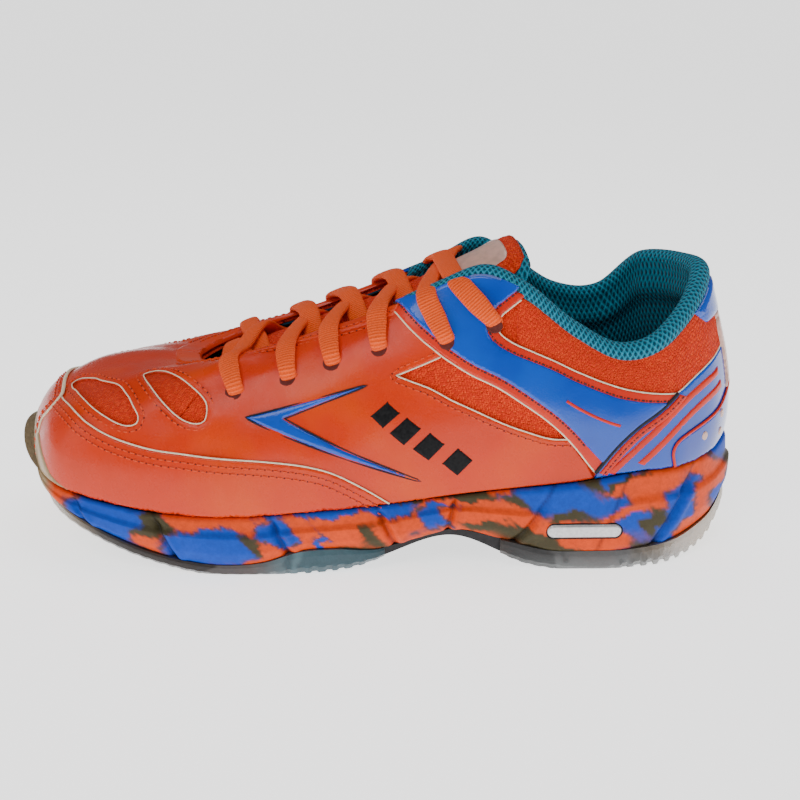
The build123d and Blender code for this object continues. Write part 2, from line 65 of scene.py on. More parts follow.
MEDIAL_STATIONS = [
    (0.00, -142, 8, 34, -66, 2, 71, 0, 26, 44, -4),
    (0.07, -139, 28, 31, -65, 9, 71, 1, 25, 42, -2),
    (0.16, -123, 40, 29, -60, 16, 71.5, 2, 24, 36, 1),
    (0.27, -92, 47, 25, -43, 20, 78, 3, 27, 28, 5),
    (0.38, -58, 47, 22.5, -21, 22, 86, 3, 29, 22, 11),
    (0.49, -20, 43, 24.5, 3, 25, 95, 2, 34, 18, 14),
    (0.58, 14, 37, 27, 27, 27, 105.5, 3, 34, 10, 22),
    (0.64, 36, 35, 30, 42, 28, 112.5, 4, 30, 8, 24),
    (0.71, 58, 35, 32.5, 57, 30, 104, 4, 26, 6, 24),
    (0.79, 80, 36, 35, 75, 31, 93, 3, 22, 5, 20),
    (0.86, 100, 36, 38.5, 92, 31, 92.5, 2, 20, 4, 20),
    (0.93, 121, 29, 39, 111, 28.5, 107, 3, 24, 5, 24),
    (0.97, 134, 15, 41, 124, 15, 109, 4, 24, 6, 24),
    (1.00, 140, 0, 45, 129, 0, 109, 3, 24, 6, 24),
]


def tangents(rows, other):
    """Tangent of each station column; toe and heel centre share one for both sides."""
    a, b = np.array(rows, float), np.array(other, float)
    m = np.zeros_like(a[:, 1:])
    h = np.diff(a[:, 0])[:, None]
    s = np.diff(a[:, 1:], axis=0) / h
    m[1:-1] = (s[:-1] * h[1:] + s[1:] * h[:-1]) / (h[:-1] + h[1:])
    m[0] = (a[1, 1:] - b[1, 1:]) / (a[1, 0] + b[1, 0])
    m[-1] = (a[-2, 1:] - b[-2, 1:]) / (a[-2, 0] + b[-2, 0] - 2)
    return a[:, 0], a[:, 1:], m


TOE_TIGHT, TOE_TUCK = 1.5, 5.0       # how far the layers are drawn in round the toe, and more below
TABLES = {LATERAL: tangents(LATERAL_STATIONS, MEDIAL_STATIONS),
          MEDIAL: tangents(MEDIAL_STATIONS, LATERAL_STATIONS)}


def station(side, u):
    """Station columns at shares u, smoothly interpolated."""
    share, rows, slope = TABLES[side]
    u = np.clip(np.asarray(u, float), 0, 1)
    i = np.clip(np.searchsorted(share, u, side="right") - 1, 0, len(share) - 2)
    h = (share[i + 1] - share[i])[..., None]
    t = ((u - share[i])[..., None]) / h
    return ((2 * t**3 - 3 * t**2 + 1) * rows[i] + (t**3 - 2 * t**2 + t) * h * slope[i]
            + (3 * t**2 - 2 * t**3) * rows[i + 1] + (t**3 - t**2) * h * slope[i + 1])


def signed(w):
    """Split a signed share (lateral below 0, medial above) that may run past the heel centre."""
    w = np.asarray(w, float)
    w = np.where(w > 1, w - 2, w)
    w = np.where(w < -1, w + 2, w)
    return w


def skin(w, v):
    """Points of the upper's outside in mm, at signed shares w and height shares v."""
    w, v = np.broadcast_arrays(signed(w), np.asarray(v, float))
    q = np.where((w < 0)[..., None], station(LATERAL, np.abs(w)), station(MEDIAL, np.abs(w)))
    reach = np.hypot(q[..., 0] - q[..., 3], q[..., 1] - q[..., 4])
    away = (q[..., 0:2] - q[..., 3:5]) / reach[..., None]
    a = (reach, reach + q[..., 6], q[..., 8], 0 * reach)
    z = (q[..., 2], q[..., 2] + q[..., 7], q[..., 5] - q[..., 9], q[..., 5])
    b = ((1 - v)**3, 3 * (1 - v)**2 * v, 3 * (1 - v) * v**2, v**3)
    out = sum(k * c for k, c in zip(b, a))
    up = sum(k * c for k, c in zip(b, z))
    return np.concatenate([q[..., 3:5] + away * out[..., None], up[..., None]], -1)


def normals(w, v):
    """Outward unit normals of the upper."""
    e = 0.003
    along = skin(w + e, v) - skin(w - e, v)
    rise = skin(w, v + e) - skin(w, v - e)
    n = np.cross(rise, along)
    return n / np.linalg.norm(n, axis=-1, keepdims=True)


def on_skin(w, v, depth=0.0):
    """Points at a depth from the upper's outside, mm, outwards positive; drawn in at the toe."""
    low = np.clip(1 - np.asarray(v, float) / 0.62, 0, 1)      # 1 at the feather, 0 above the toe tip
    drawn_in = (TOE_TIGHT + TOE_TUCK * low) * np.exp(-(np.asarray(w) / 0.13)**4)
    depth = np.asarray(depth, float) - drawn_in
    return skin(w, v) + normals(w, v) * depth[..., None]


# ------------------------------------------------------------------ materials
def new_material(name, colour, roughness, coat=0.0, coat_roughness=0.1, sheen=0.0, metallic=0.0,
                 transmission=0.0, specular=0.5, subsurface=0.0):
    """Principled material; returns it with its node tree's links, nodes and shader."""
    material = bpy.data.materials.new(name)
    material.use_nodes = True
    tree = material.node_tree
    shader = tree.nodes["Principled BSDF"]
    values = {"Base Color": (*colour, 1), "Roughness": roughness, "Coat Weight": coat,
              "Coat Roughness": coat_roughness, "Sheen Weight": sheen, "Metallic": metallic,
              "Transmission Weight": transmission, "Specular IOR Level": specular,
              "Subsurface Weight": subsurface}
    for key, value in values.items():
        shader.inputs[key].default_value = value
    if subsurface:
        shader.inputs["Subsurface Radius"].default_value = (0.004, 0.002, 0.001)
        shader.inputs["Subsurface Scale"].default_value = 1.0
    return material, tree, shader


def texture(tree, kind, scale, coords="Object", stretch=(1, 1, 1), turn=0.0, **settings):
    """Texture node fed by object or chart coordinates; returns its node."""
    source = tree.nodes.new("ShaderNodeTexCoord")
    mapping = tree.nodes.new("ShaderNodeMapping")
    mapping.inputs["Scale"].default_value = stretch
    mapping.inputs["Rotation"].default_value = (0, 0, turn)
    node = tree.nodes.new(kind)
    node.inputs["Scale"].default_value = scale
    for key, value in settings.items():
        if key in node.inputs:
            node.inputs[key].default_value = value
        else:
            setattr(node, key, value)
    tree.links.new(source.outputs["UV" if coords == "UV" else "Object"], mapping.inputs["Vector"])
    tree.links.new(mapping.outputs["Vector"], node.inputs["Vector"])
    return node


def ramp(tree, source, stops):
    """Colour ramp over a texture output."""
    node = tree.nodes.new("ShaderNodeValToRGB")
    while len(node.color_ramp.elements) < len(stops):
        node.color_ramp.elements.new(0.5)
    for element, (place, colour) in zip(node.color_ramp.elements, stops):
        element.position = place
        element.color = (*colour, 1)
    tree.links.new(source, node.inputs["Fac"])
    return node.outputs["Color"]


def blend_colour(tree, factor, one, two, mode="MIX"):
    """Mix two colours; either may be a socket or an (r, g, b)."""
    node = tree.nodes.new("ShaderNodeMix")
    node.data_type = "RGBA"
    node.blend_type = mode
    for socket, value in ((node.inputs["Factor"], factor), (node.inputs[6], one), (node.inputs[7], two)):
        if isinstance(value, (int, float)):
            socket.default_value = value
        elif isinstance(value, tuple):
            socket.default_value = (*value, 1)
        else:
            tree.links.new(value, socket)
    return node.outputs[2]


def maths(tree, operation, one, two=None):
    """Maths node; inputs are sockets or numbers."""
    node = tree.nodes.new("ShaderNodeMath")
    node.operation = operation
    for socket, value in zip(node.inputs, (one, two)):
        if value is None:
            continue
        if isinstance(value, (int, float)):
            socket.default_value = value
        else:
            tree.links.new(value, socket)
    return node.outputs[0]


def add_bump(tree, shader, height, strength, distance, before=None):
    """Bump from a height socket."""
    node = tree.nodes.new("ShaderNodeBump")
    node.inputs["Strength"].default_value = strength
    node.inputs["Distance"].default_value = distance
    tree.links.new(height, node.inputs["Height"])
    if before is not None:
        tree.links.new(before, node.inputs["Normal"])
    tree.links.new(node.outputs["Normal"], shader.inputs["Normal"])
    return node.outputs["Normal"]


def coated(name, colour, light, dark, roughness, coat):
    """Coated synthetic leather: fine grain, slow colour change, small scuffs in the gloss."""
    material, tree, shader = new_material(name, colour, roughness, coat, 0.12, specular=0.28)
    cloud = texture(tree, "ShaderNodeTexNoise", 28.0, Detail=3.0)
    tint = ramp(tree, cloud.outputs["Fac"], ((0.3, dark), (0.5, colour), (0.72, light)))
    tree.links.new(tint, shader.inputs["Base Color"])
    scuff = texture(tree, "ShaderNodeTexNoise", 160.0, Detail=4.0, Roughness=0.7)
    low = ramp(tree, scuff.outputs["Fac"], ((0.35, (roughness * 0.8,) * 3), (0.7, (roughness * 1.35,) * 3)))
    tree.links.new(low, shader.inputs["Roughness"])
    grain = texture(tree, "ShaderNodeTexVoronoi", 1300.0)
    soft = add_bump(tree, shader, cloud.outputs["Fac"], 0.25, 0.002)
    add_bump(tree, shader, grain.outputs["Distance"], 0.10, 0.0003, soft)
    return material


def knit(name, colour, deep, pitch, bump=0.9, slant=0.6, sheen=0.05):
    """Knitted mesh: rows of slanted loops, from chart coordinates in mm; painted shade darkens the gaps and a
    painted highlight lightens the loop tops.
    """
    material, tree, shader = new_material(name, colour, 0.75, sheen=sheen, specular=0.12)
    wobble = texture(tree, "ShaderNodeTexNoise", 0.35, "UV", Detail=2.0)
    loops = texture(tree, "ShaderNodeTexVoronoi", 1.0, "UV", (1.5 / pitch, 0.75 / pitch, 1),
                    slant, Randomness=0.45)
    ribs = texture(tree, "ShaderNodeTexVoronoi", 1.0, "UV", (0.6 / pitch, 1.9 / pitch, 1),
                   slant - 0.9, Randomness=0.6)
    height = maths(tree, "ADD", loops.outputs["Distance"],
                   maths(tree, "MULTIPLY", ribs.outputs["Distance"], 0.7))
    level = maths(tree, "ADD", height, maths(tree, "MULTIPLY", wobble.outputs["Fac"], 0.25))
    # Painted highlight on the loop tops and painted shade in the gaps: the colour follows the loop height.
    light = tuple(min(1, c * 1.25 + 0.03) for c in colour)
    tint = ramp(tree, level, ((0.35, light), (0.62, colour), (1.0, deep)))
    tree.links.new(tint, shader.inputs["Base Color"])
    flip = maths(tree, "SUBTRACT", 1.0, height)
    add_bump(tree, shader, flip, bump, 0.0009)
    return material


def air_mesh(name, colour, deep, pitch, sheen=0.08):
    """Lining mesh: staggered diamond cells, raised threads round holes, in chart mm; painted shade darkens
    the holes and a painted highlight lightens the raised threads.
    """
    material, tree, shader = new_material(name, colour, 0.7, sheen=sheen, specular=0.15)
    one = texture(tree, "ShaderNodeTexWave", 1.0, "UV", (0.314 / pitch, 0.26 / pitch, 1), 0.62,
                  Distortion=0.6)
    two = texture(tree, "ShaderNodeTexWave", 1.0, "UV", (0.314 / pitch, 0.26 / pitch, 1), -0.62,
                  Distortion=0.6)
    for node in (one, two):
        node.inputs["Detail Scale"].default_value = 2.0
    height = maths(tree, "MULTIPLY", one.outputs["Fac"], two.outputs["Fac"])
    top = maths(tree, "MAXIMUM", one.outputs["Fac"], two.outputs["Fac"])
    level = maths(tree, "ADD", maths(tree, "MULTIPLY", height, 0.35), maths(tree, "MULTIPLY", top, 0.65))
    # Painted shade in the holes and painted highlight on the raised threads: the colour follows the thread
    # height.
    light = tuple(min(1, c * 1.35 + 0.02) for c in colour)
    tint = ramp(tree, level, ((0.28, deep), (0.55, colour), (0.95, light)))
    tree.links.new(tint, shader.inputs["Base Color"])
    add_bump(tree, shader, level, 1.0, 0.0008)
    return material


def plain(name, colour, roughness, scale=700.0, bump=0.15, **more):
    """Moulded or cut material with a fine random grain and slight colour change."""
    material, tree, shader = new_material(name, colour, roughness, **more)
    noise = texture(tree, "ShaderNodeTexNoise", scale, Detail=4.0)
    light = tuple(min(1, c * 1.12 + 0.01) for c in colour)
    dark = tuple(c * 0.86 for c in colour)
    tint = ramp(tree, noise.outputs["Fac"], ((0.3, dark), (0.7, light)))
    tree.links.new(tint, shader.inputs["Base Color"])
    add_bump(tree, shader, noise.outputs["Fac"], bump, 0.0004)
    return material


def woven_lace(name, colour):
    """Flat lace: fine cross ribs and a herringbone along its length, from chart mm."""
    material, tree, shader = new_material(name, colour, 0.8, sheen=0.05, specular=0.12)
    ribs = texture(tree, "ShaderNodeTexWave", 1.0, "UV", (0.30, 0.05, 1), 0.0, Distortion=0.8)
    weave = texture(tree, "ShaderNodeTexVoronoi", 1.0, "UV", (1.4, 1.1, 1), 0.5, Randomness=0.3)
    level = maths(tree, "ADD", maths(tree, "MULTIPLY", ribs.outputs["Fac"], 0.6),
                  maths(tree, "MULTIPLY", weave.outputs["Distance"], 0.5))
    # Painted shade between the ribs and painted highlight on the raised ribs: the colour follows the rib
    # height.
    light = tuple(min(1, c * 1.2 + 0.04) for c in colour)
    dark = tuple(c * 0.8 for c in colour)
    tint = ramp(tree, level, ((0.2, dark), (0.55, colour), (0.9, light)))
    tree.links.new(tint, shader.inputs["Base Color"])
    add_bump(tree, shader, level, 0.8, 0.0006)
    return material


def painted(name, roughness, grain, transmission=0.0):
    """Moulded material whose colour comes from the mesh's paint, with a fine mottling."""
    material, tree, shader = new_material(name, (0.5, 0.5, 0.5), roughness, specular=0.22,
                                          transmission=transmission)
    paint = tree.nodes.new("ShaderNodeVertexColor")
    paint.layer_name = "paint"
    speck = texture(tree, "ShaderNodeTexNoise", 420.0, Detail=5.0, Roughness=0.7)
    shade = ramp(tree, speck.outputs["Fac"], ((0.25, (0.78, 0.78, 0.78)), (0.7, (1.12, 1.12, 1.12))))
    tint = blend_colour(tree, 1.0, paint.outputs["Color"], shade, "MULTIPLY")
    tree.links.new(tint, shader.inputs["Base Color"])
    skin_grain = texture(tree, "ShaderNodeTexNoise", grain, Detail=3.0)
    add_bump(tree, shader, skin_grain.outputs["Fac"], 0.25, 0.0004)
    return material


ORANGE = (0.68, 0.032, 0.0)
CORAL = (1.0, 0.075, 0.010)
BLUE = (0.001, 0.075, 0.52)
TEAL = (0.006, 0.20, 0.30)
CREAM = (0.86, 0.74, 0.52)

mat = {
    "orange": coated("orange_coated", ORANGE, (0.74, 0.060, 0.0), (0.60, 0.032, 0.0), 0.28, 0.12),
    "orange_deep": coated("orange_deep_coated", (0.74, 0.048, 0.001), (0.80, 0.062, 0.001),
                          (0.64, 0.036, 0.001), 0.32, 0.2),
    "blue": coated("blue_patent", BLUE, (0.004, 0.085, 0.60), (0.001, 0.045, 0.42), 0.14, 0.7),
    "coral": knit("coral_mesh", CORAL, (0.68, 0.030, 0.005), 1.25),
    "teal": air_mesh("teal_mesh", TEAL, (0.002, 0.055, 0.10), 1.7),
    "lace": woven_lace("orange_lace", (1.0, 0.10, 0.006)),
    "cream": plain("cream_edge", CREAM, 0.6),
    "red_strip": coated("red_strip", (0.70, 0.022, 0.002), (0.78, 0.034, 0.004),
                        (0.58, 0.015, 0.001), 0.35, 0.2),
    "thread_orange": plain("thread_orange", (0.74, 0.060, 0.004), 0.7, 2500.0, 0.4),
    "thread_dark": plain("thread_dark", (0.02, 0.015, 0.03), 0.7, 2500.0, 0.4),
    # Dark colour of the needle marks and eyelets: painted shade inside holes.
    "hole": plain("painted_hole_shade", (0.10, 0.008, 0.004), 0.9),
    "film": plain("label_film", (0.72, 0.42, 0.34), 0.3, 300.0, 0.05, coat=0.4, subsurface=0.2),
    "black": plain("black_print", (0.003, 0.003, 0.004), 0.45, 900.0, 0.1, specular=0.12),
    "silver": plain("silver_badge", (0.62, 0.62, 0.63), 0.32, 900.0, 0.08, metallic=0.7),
    "board": plain("lasting_board", (0.78, 0.70, 0.58), 0.9),
    "stiff": plain("stiffener", (0.82, 0.80, 0.74), 0.6),
    "shank": plain("arch_shank", (0.005, 0.005, 0.007), 0.35, 500.0, 0.2, specular=0.3),
    "camo": painted("camo_foam", 0.55, 900.0),
    "rubber": painted("smoky_rubber", 0.38, 500.0, 0.25),
    "bumper": plain("toe_rubber", (0.44, 0.31, 0.17), 0.35, 500.0, 0.1, specular=0.3),
    "clear": plain("aglet_film", (0.82, 0.70, 0.62), 0.25, 800.0, 0.05, coat=0.5),
    # Dark piping of the heel seams, also drawn round the chevrons as a painted shade line.
    "seam_pipe_and_edge_shade": plain("seam_piping_and_edge_shade", (0.020, 0.018, 0.025), 0.5, specular=0.15),
}
thread_materials = {"orange": mat["thread_orange"], "dark": mat["thread_dark"], "hole": mat["hole"]}


# ------------------------------------------------------------------ charts, curves and meshes
CHART = np.array([330.0, 78.0])      # chart millimetres for one share of girth and of height


def catmull(points, spacing, closed=False):
    """Smooth curve through chart points (w, v), sampled about every spacing millimetres."""
    p = np.array(points, float)
    if closed:
        p = np.vstack([p[-1], p, p[:2]])
    else:
        p = np.vstack([2 * p[0] - p[1], p, 2 * p[-1] - p[-2]])
    samples = []
    for a, b, c, d in zip(p, p[1:], p[2:], p[3:]):
        count = max(2, int(np.linalg.norm((c - b) * CHART[:len(b)]) / spacing))
        t = np.arange(count)[:, None] / count
        samples.append(0.5 * (2 * b + (c - a) * t + (2 * a - 5 * b + 4 * c - d) * t**2
                              + (3 * b - a - 3 * c + d) * t**3))
    if not closed:
        samples.append(p[-2][None])
    return np.vstack(samples)


def on_side(side, points):
    """Chart points given for one side, placed on the lateral or the medial side."""
    return np.array(points, float) * (side, 1)


def inside(points, polygon):
    """Which points lie inside a polygon."""
    x, y = points[:, 0][:, None], points[:, 1][:, None]
    x0, y0 = polygon.T
    x1, y1 = np.roll(polygon, -1, 0).T
    with np.errstate(divide="ignore", invalid="ignore"):
        cross = ((y0 > y) != (y1 > y)) & (x < (x1 - x0) * (y - y0) / (y1 - y0) + x0)
    return cross.sum(1) % 2 == 1


def tree_of(points):
    tree = kdtree.KDTree(len(points))
    for i, p in enumerate(points):
        tree.insert(p, i)
    tree.balance()
    return tree


def reach_to(points, targets):
    """Distance from each point to the nearest target."""
    tree = tree_of(targets)
    return np.array([tree.find(p)[2] for p in points])


def new_object(name, verts, faces, material, body=SHOE, smooth=True, uv=None):
    """Mesh object from millimetre vertices, riding on a body."""
    mesh = bpy.data.meshes.new(name)
    mesh.from_pydata((np.asarray(verts) * MM).tolist(), [], [list(map(int, f)) for f in faces])
    if uv is not None:
        layer = mesh.uv_layers.new(name="chart")
        loops = np.empty(len(mesh.loops), int)
        mesh.loops.foreach_get("vertex_index", loops)
        layer.data.foreach_set("uv", np.asarray(uv)[loops].ravel())
    mesh.validate()
    if smooth:
        mesh.shade_smooth()
    obj = bpy.data.objects.new(name, mesh)
    bpy.context.collection.objects.link(obj)
    for m in (material if isinstance(material, (list, tuple)) else [material]):
        mesh.materials.append(m)
    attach(obj, body)
    return obj


def grid_faces(rows, columns, wrap=False):
    """Quads of a rows by columns grid; wrap joins the last column to the first."""
    faces = []
    for r in range(rows - 1):
        for c in range(columns if wrap else columns - 1):
            n = (c + 1) % columns
            faces.append((r * columns + c, r * columns + n, (r + 1) * columns + n, (r + 1) * columns + c))
    return faces


def chart_step(w, v, direction, length):
    """Chart move that covers a length in mm on the skin along a chart direction."""
    move = direction / CHART
    span = np.linalg.norm(skin(w + move[:, 0] * 0.5, v + move[:, 1] * 0.5)
                          - skin(w - move[:, 0] * 0.5, v - move[:, 1] * 0.5), axis=-1)
    return move * (length / np.maximum(span, 0.15))[:, None]


def inward(outline, hole=False):
    """Unit chart direction from each outline point into the piece."""
    p = outline * CHART
    run = np.roll(p, -1, 0) - np.roll(p, 1, 0)
    side = np.stack([-run[:, 1], run[:, 0]], -1)
    side /= np.maximum(np.linalg.norm(side, axis=-1, keepdims=True), 1e-9)
    x, y = p.T
    area = np.sum(x * np.roll(y, -1) - np.roll(x, -1) * y)
    return side * (1 if (area > 0) != hole else -1)


def inset(outline, length, hole=False):
    """Outline moved into the piece by a length in mm."""
    d = inward(outline, hole)
    return outline + chart_step(outline[:, 0], outline[:, 1], d, length)


def patch(name, outlines, depth, thick, material, edge=0.9, spacing=1.9, wave=None,
          body=SHOE, bulge=0.0):
    """Closed sheet on the skin with a rounded edge. The first outline bounds it, others are holes."""
    rings = [np.asarray(o, float) for o in outlines]
    flat = [r * CHART for r in rings]
    lo, hi = flat[0].min(0), flat[0].max(0)
    gx = np.arange(lo[0], hi[0], spacing)
    gy = np.arange(lo[1], hi[1], spacing * 0.87)
    grid = np.array([(x + (spacing / 2 if k % 2 else 0), y) for k, y in enumerate(gy) for x in gx])
    cloud = [grid]
    for k, r in enumerate(rings):
        for length in (0.3, 0.75, 1.4):
            cloud.append(inset(r, length, k > 0) * CHART)
    inner = np.vstack(cloud)
    keep = inside(inner, flat[0])
    for hole in flat[1:]:
        keep &= ~inside(inner, hole)
    inner = inner[keep]
    border = np.vstack(flat)
    near = reach_to(np.c_[inner, np.zeros(len(inner))], np.c_[border, np.zeros(len(border))])
    inner = inner[near > 0.25]
    cell = np.unique((inner / 0.35).astype(int), axis=0, return_index=True)[1]
    thin = inner[cell]
    points = np.vstack([border, thin])
    edges, start = [], 0
    for r in rings:
        n = len(r)
        edges += [(start + i, start + (i + 1) % n) for i in range(n)]
        start += n
    verts2, _, faces, *_ = delaunay_2d_cdt([Vector(p) for p in points], edges, [], 0, 1e-6)
    chart = np.array([(p.x, p.y) for p in verts2])
    faces = np.array([f for f in faces if len(f) == 3])
    centre = chart[faces].mean(1)
    keep = inside(centre, flat[0])
    for hole in flat[1:]:
        keep &= ~inside(centre, hole)
    faces = faces[keep]
    used, faces = np.unique(faces, return_inverse=True)
    faces = faces.reshape(-1, 3)
    chart = chart[used]
    w, v = (chart / CHART).T
    base = on_skin(w, v, depth)
    rim = np.vstack([on_skin(*(fine.T), depth) for fine in
                     [np.vstack([r + (np.roll(r, -1, 0) - r) * k / 3 for k in range(3)]) for r in rings]])
    away = reach_to(base, rim)
    height = thick * np.sqrt(1 - (1 - np.minimum(away / edge, 1))**2)
    height += bulge * (1 - np.exp(-np.maximum(away - 1, 0) / 6))
    if wave is not None:
        height += wave(w, v) * np.minimum(away / 3, 1)
    height = np.maximum(height, 0.02)
    top = on_skin(w, v, depth + height)
    bottom = on_skin(w, v, depth - 0.06)
    n = len(chart)
    shell = [tuple(f) for f in faces] + [tuple(f[::-1] + n) for f in faces]
    directed = dict.fromkeys(e for a, b, c in faces for e in ((a, b), (b, c), (c, a)))
    walls = [(b, a, a + n, b + n) for a, b in directed if (b, a) not in directed]
    uv = np.vstack([chart, chart])
    return new_object(name, np.vstack([top, bottom]), shell + walls, material, body,
                      uv=uv)


def resample(points, pitch):
    """Positions every pitch millimetres along a 3-D polyline, as fractional indices."""
    run = np.r_[0, np.cumsum(np.linalg.norm(np.diff(points, axis=0), axis=1))]
    count = max(1, int(round(run[-1] / pitch)))
    return np.interp(np.linspace(0, run[-1], count + 1), run, np.arange(len(points)))


def at(points, index):
    """Rows of an array at fractional indices."""
    low = np.clip(np.floor(index).astype(int), 0, len(points) - 2)
    t = (index - low)[:, None]
    return points[low] * (1 - t) + points[low + 1] * t


thread_rows = {}
# Places of the dark needle marks, painted shade of the needle holes.
hole_shade_marks = []


def stitches(curve, depth, colour, pitch=2.9, closed=False, width=0.3, share=0.66):
    """Remember a row of stitches along chart points, at a depth above the skin."""
    if closed:
        curve = np.vstack([curve, curve[:1]])
    line = on_skin(curve[:, 0], curve[:, 1], depth)
    normal = normals(curve[:, 0], curve[:, 1])
    index = resample(line, pitch)
    gap = (index[1:] - index[:-1])
    ends = [at(line, index[:-1] + gap * k) for k in ((1 - share) / 2, 0.5, (1 + share) / 2)]
    up = at(normal, index[:-1] + gap * 0.5)
    thread_rows.setdefault(colour, []).append((*ends, up, np.full(len(up), width)))
    # Dark mark near the start of each stitch: painted shade of its needle hole.
    hole_shade_marks.append((at(line, index[:-1] + gap * 0.02), at(normal, index[:-1]), width * 1.25))


def build_threads(materials):
    """Make the remembered stitches, one object for each thread colour, and the dark needle marks, painted
    shade of the needle holes.
    """
    sides = 6
    shape = ((-1.0, 0.35, -0.25), (-0.8, 0.85, 0.05), (-0.3, 1.0, 0.28), (0.3, 1.0, 0.28),
             (0.8, 0.85, 0.05), (1.0, 0.35, -0.25))
    for colour, rows in thread_rows.items():
        start, middle, stop, up, width = (np.concatenate(c) for c in zip(*rows))
        along = (stop - start) / 2
        length = np.linalg.norm(along, axis=1, keepdims=True)
        good = length[:, 0] > 0.2
        start, middle, stop, up, width, along, length = (
            a[good] for a in (start, middle, stop, up, width, along, length))
        across = np.cross(along / length, up)
        verts = []
        for t, r, lift in shape:
            centre = middle + along * t + up * (lift * width[:, None] * 1.6)
            for k in range(sides):
                angle = 2 * pi * k / sides
                verts.append(centre + (across * cos(angle) + up * sin(angle)) * (r * width[:, None]))
        verts = np.stack(verts, 1)
        count = verts.shape[1]
        rings = len(shape)
        one = grid_faces(rings, sides, wrap=True)
        caps = [tuple(range(sides))[::-1], tuple((rings - 1) * sides + k for k in range(sides))]
        faces = []
        for i in range(len(verts)):
            faces += [tuple(i * count + k for k in f) for f in one + caps]
        new_object(f"stitches_{colour}", verts.reshape(-1, 3), faces, materials[colour])
    # Needle marks: small dark domes, painted shade of the needle holes.
    place = np.concatenate([m[0] for m in hole_shade_marks])
    up = np.concatenate([m[1] for m in hole_shade_marks])
    size = np.concatenate([np.full(len(m[0]), m[2]) for m in hole_shade_marks])
    side = np.cross(up, (0.0, 1.0, 0.3))
    side /= np.linalg.norm(side, axis=1, keepdims=True)
    other = np.cross(up, side)
    verts, faces = [], []
    for level, r in ((0.12, 0.0), (0.1, 0.75), (-0.1, 1.0), (-0.5, 0.4)):
        for k in range(sides):
            angle = 2 * pi * k / sides
            verts.append(place + up * (level * 0.8) + (side * cos(angle) + other * sin(angle))
                         * (max(r, 0.05) * size[:, None]))
    verts = np.stack(verts, 1)
    count = verts.shape[1]
    one = grid_faces(4, sides, wrap=True) + [tuple(range(sides))[::-1], tuple(range(18, 24))]
    for i in range(len(verts)):
        faces += [tuple(i * count + k for k in f) for f in one]
    new_object("needle_hole_shades", verts.reshape(-1, 3), faces, materials["hole"])


def tube(name, line, radius, material, closed=False, sides=10, flat=None, up=None, body=SHOE):
    """Round or flattened tube along millimetre points; radius may vary along it."""
    line = np.asarray(line, float)
    n = len(line)
    radius = np.broadcast_to(np.asarray(radius, float), (n,))
    if closed:
        along = np.roll(line, -1, 0) - np.roll(line, 1, 0)
    else:
        along = np.gradient(line, axis=0)
    along /= np.maximum(np.linalg.norm(along, axis=1, keepdims=True), 1e-9)
    if up is None:
        up = np.tile((0.0, 0.0, 1.0), (n, 1))
    side = np.cross(along, up)
    side /= np.maximum(np.linalg.norm(side, axis=1, keepdims=True), 1e-9)
    up = np.cross(side, along)
    squash = 1.0 if flat is None else flat
    angle = 2 * pi * np.arange(sides) / sides
    verts = (line[:, None] + side[:, None] * (np.cos(angle)[None, :, None] * radius[:, None, None])
             + up[:, None] * (np.sin(angle)[None, :, None] * radius[:, None, None] * squash))
    faces = grid_faces(n, sides, wrap=True)
    if closed:
        last = (n - 1) * sides
        faces += [(last + k, last + (k + 1) % sides, (k + 1) % sides, k) for k in range(sides)]
    else:
        faces += [tuple(range(sides))[::-1], tuple((n - 1) * sides + k for k in range(sides))]
    distance = np.r_[0, np.cumsum(np.linalg.norm(np.diff(line, axis=0), axis=1))]
    uv = np.stack([np.repeat(distance, sides), np.tile(np.arange(sides), n)], -1)
    return new_object(name, verts.reshape(-1, 3), faces, material, body, uv=uv)


def piping(name, curve, depth, radius, material, closed=False, flat=0.7):
    """Raised edge line along chart points."""
    line = on_skin(curve[:, 0], curve[:, 1], depth)
    up = normals(curve[:, 0], curve[:, 1])
    return tube(name, line, radius, material, closed, up=up, flat=flat, sides=8)


def offset_line(curve, length):
    """Open chart curve moved sideways by a length in mm, to its left in the chart."""
    p = curve * CHART
    run = np.gradient(p, axis=0)
    side = np.stack([-run[:, 1], run[:, 0]], -1)
    side /= np.maximum(np.linalg.norm(side, axis=-1, keepdims=True), 1e-9)
    return curve + chart_step(curve[:, 0], curve[:, 1], side, length)


def band_between(curve, near, far):
    """Outline of the strip between two sideways offsets of an open chart curve."""
    return np.vstack([offset_line(curve, near), offset_line(curve, far)[::-1]])


# ------------------------------------------------------------------ outlines on the upper
# Points are (share from toe centre to heel centre, share of height), for one side.
OPENING = 0.965
MUDGUARD_EDGE = [(0.088, 0.42), (0.13, 0.41), (0.165, 0.385), (0.196, 0.352), (0.244, 0.309),
                 (0.297, 0.285), (0.348, 0.28), (0.409, 0.26), (0.45, 0.235), (0.487, 0.20),
                 (0.514, 0.157), (0.543, 0.08), (0.566, 0.004)]
TIP_EDGE = [(0.10, 0.0), (0.094, 0.12), (0.085, 0.21), (0.080, 0.26), (0.087, 0.312), (0.089, 0.38),
            (0.080, 0.43), (0.057, 0.450), (0.02, 0.455), (0.0, 0.456)]
BUMPER_EDGE = [(0.205, 0.0), (0.177, 0.029), (0.159, 0.054), (0.141, 0.102), (0.121, 0.147),
               (0.099, 0.186), (0.07, 0.205), (0.035, 0.215), (0.0, 0.218)]
LEAF_FRONT = [(0.058, 0.496), (0.062, 0.545), (0.09, 0.59), (0.113, 0.598), (0.168, 0.601),
              (0.212, 0.542), (0.24, 0.48), (0.259, 0.429), (0.263, 0.393), (0.253, 0.377),
              (0.235, 0.384), (0.202, 0.417), (0.153, 0.464), (0.105, 0.491), (0.075, 0.488)]
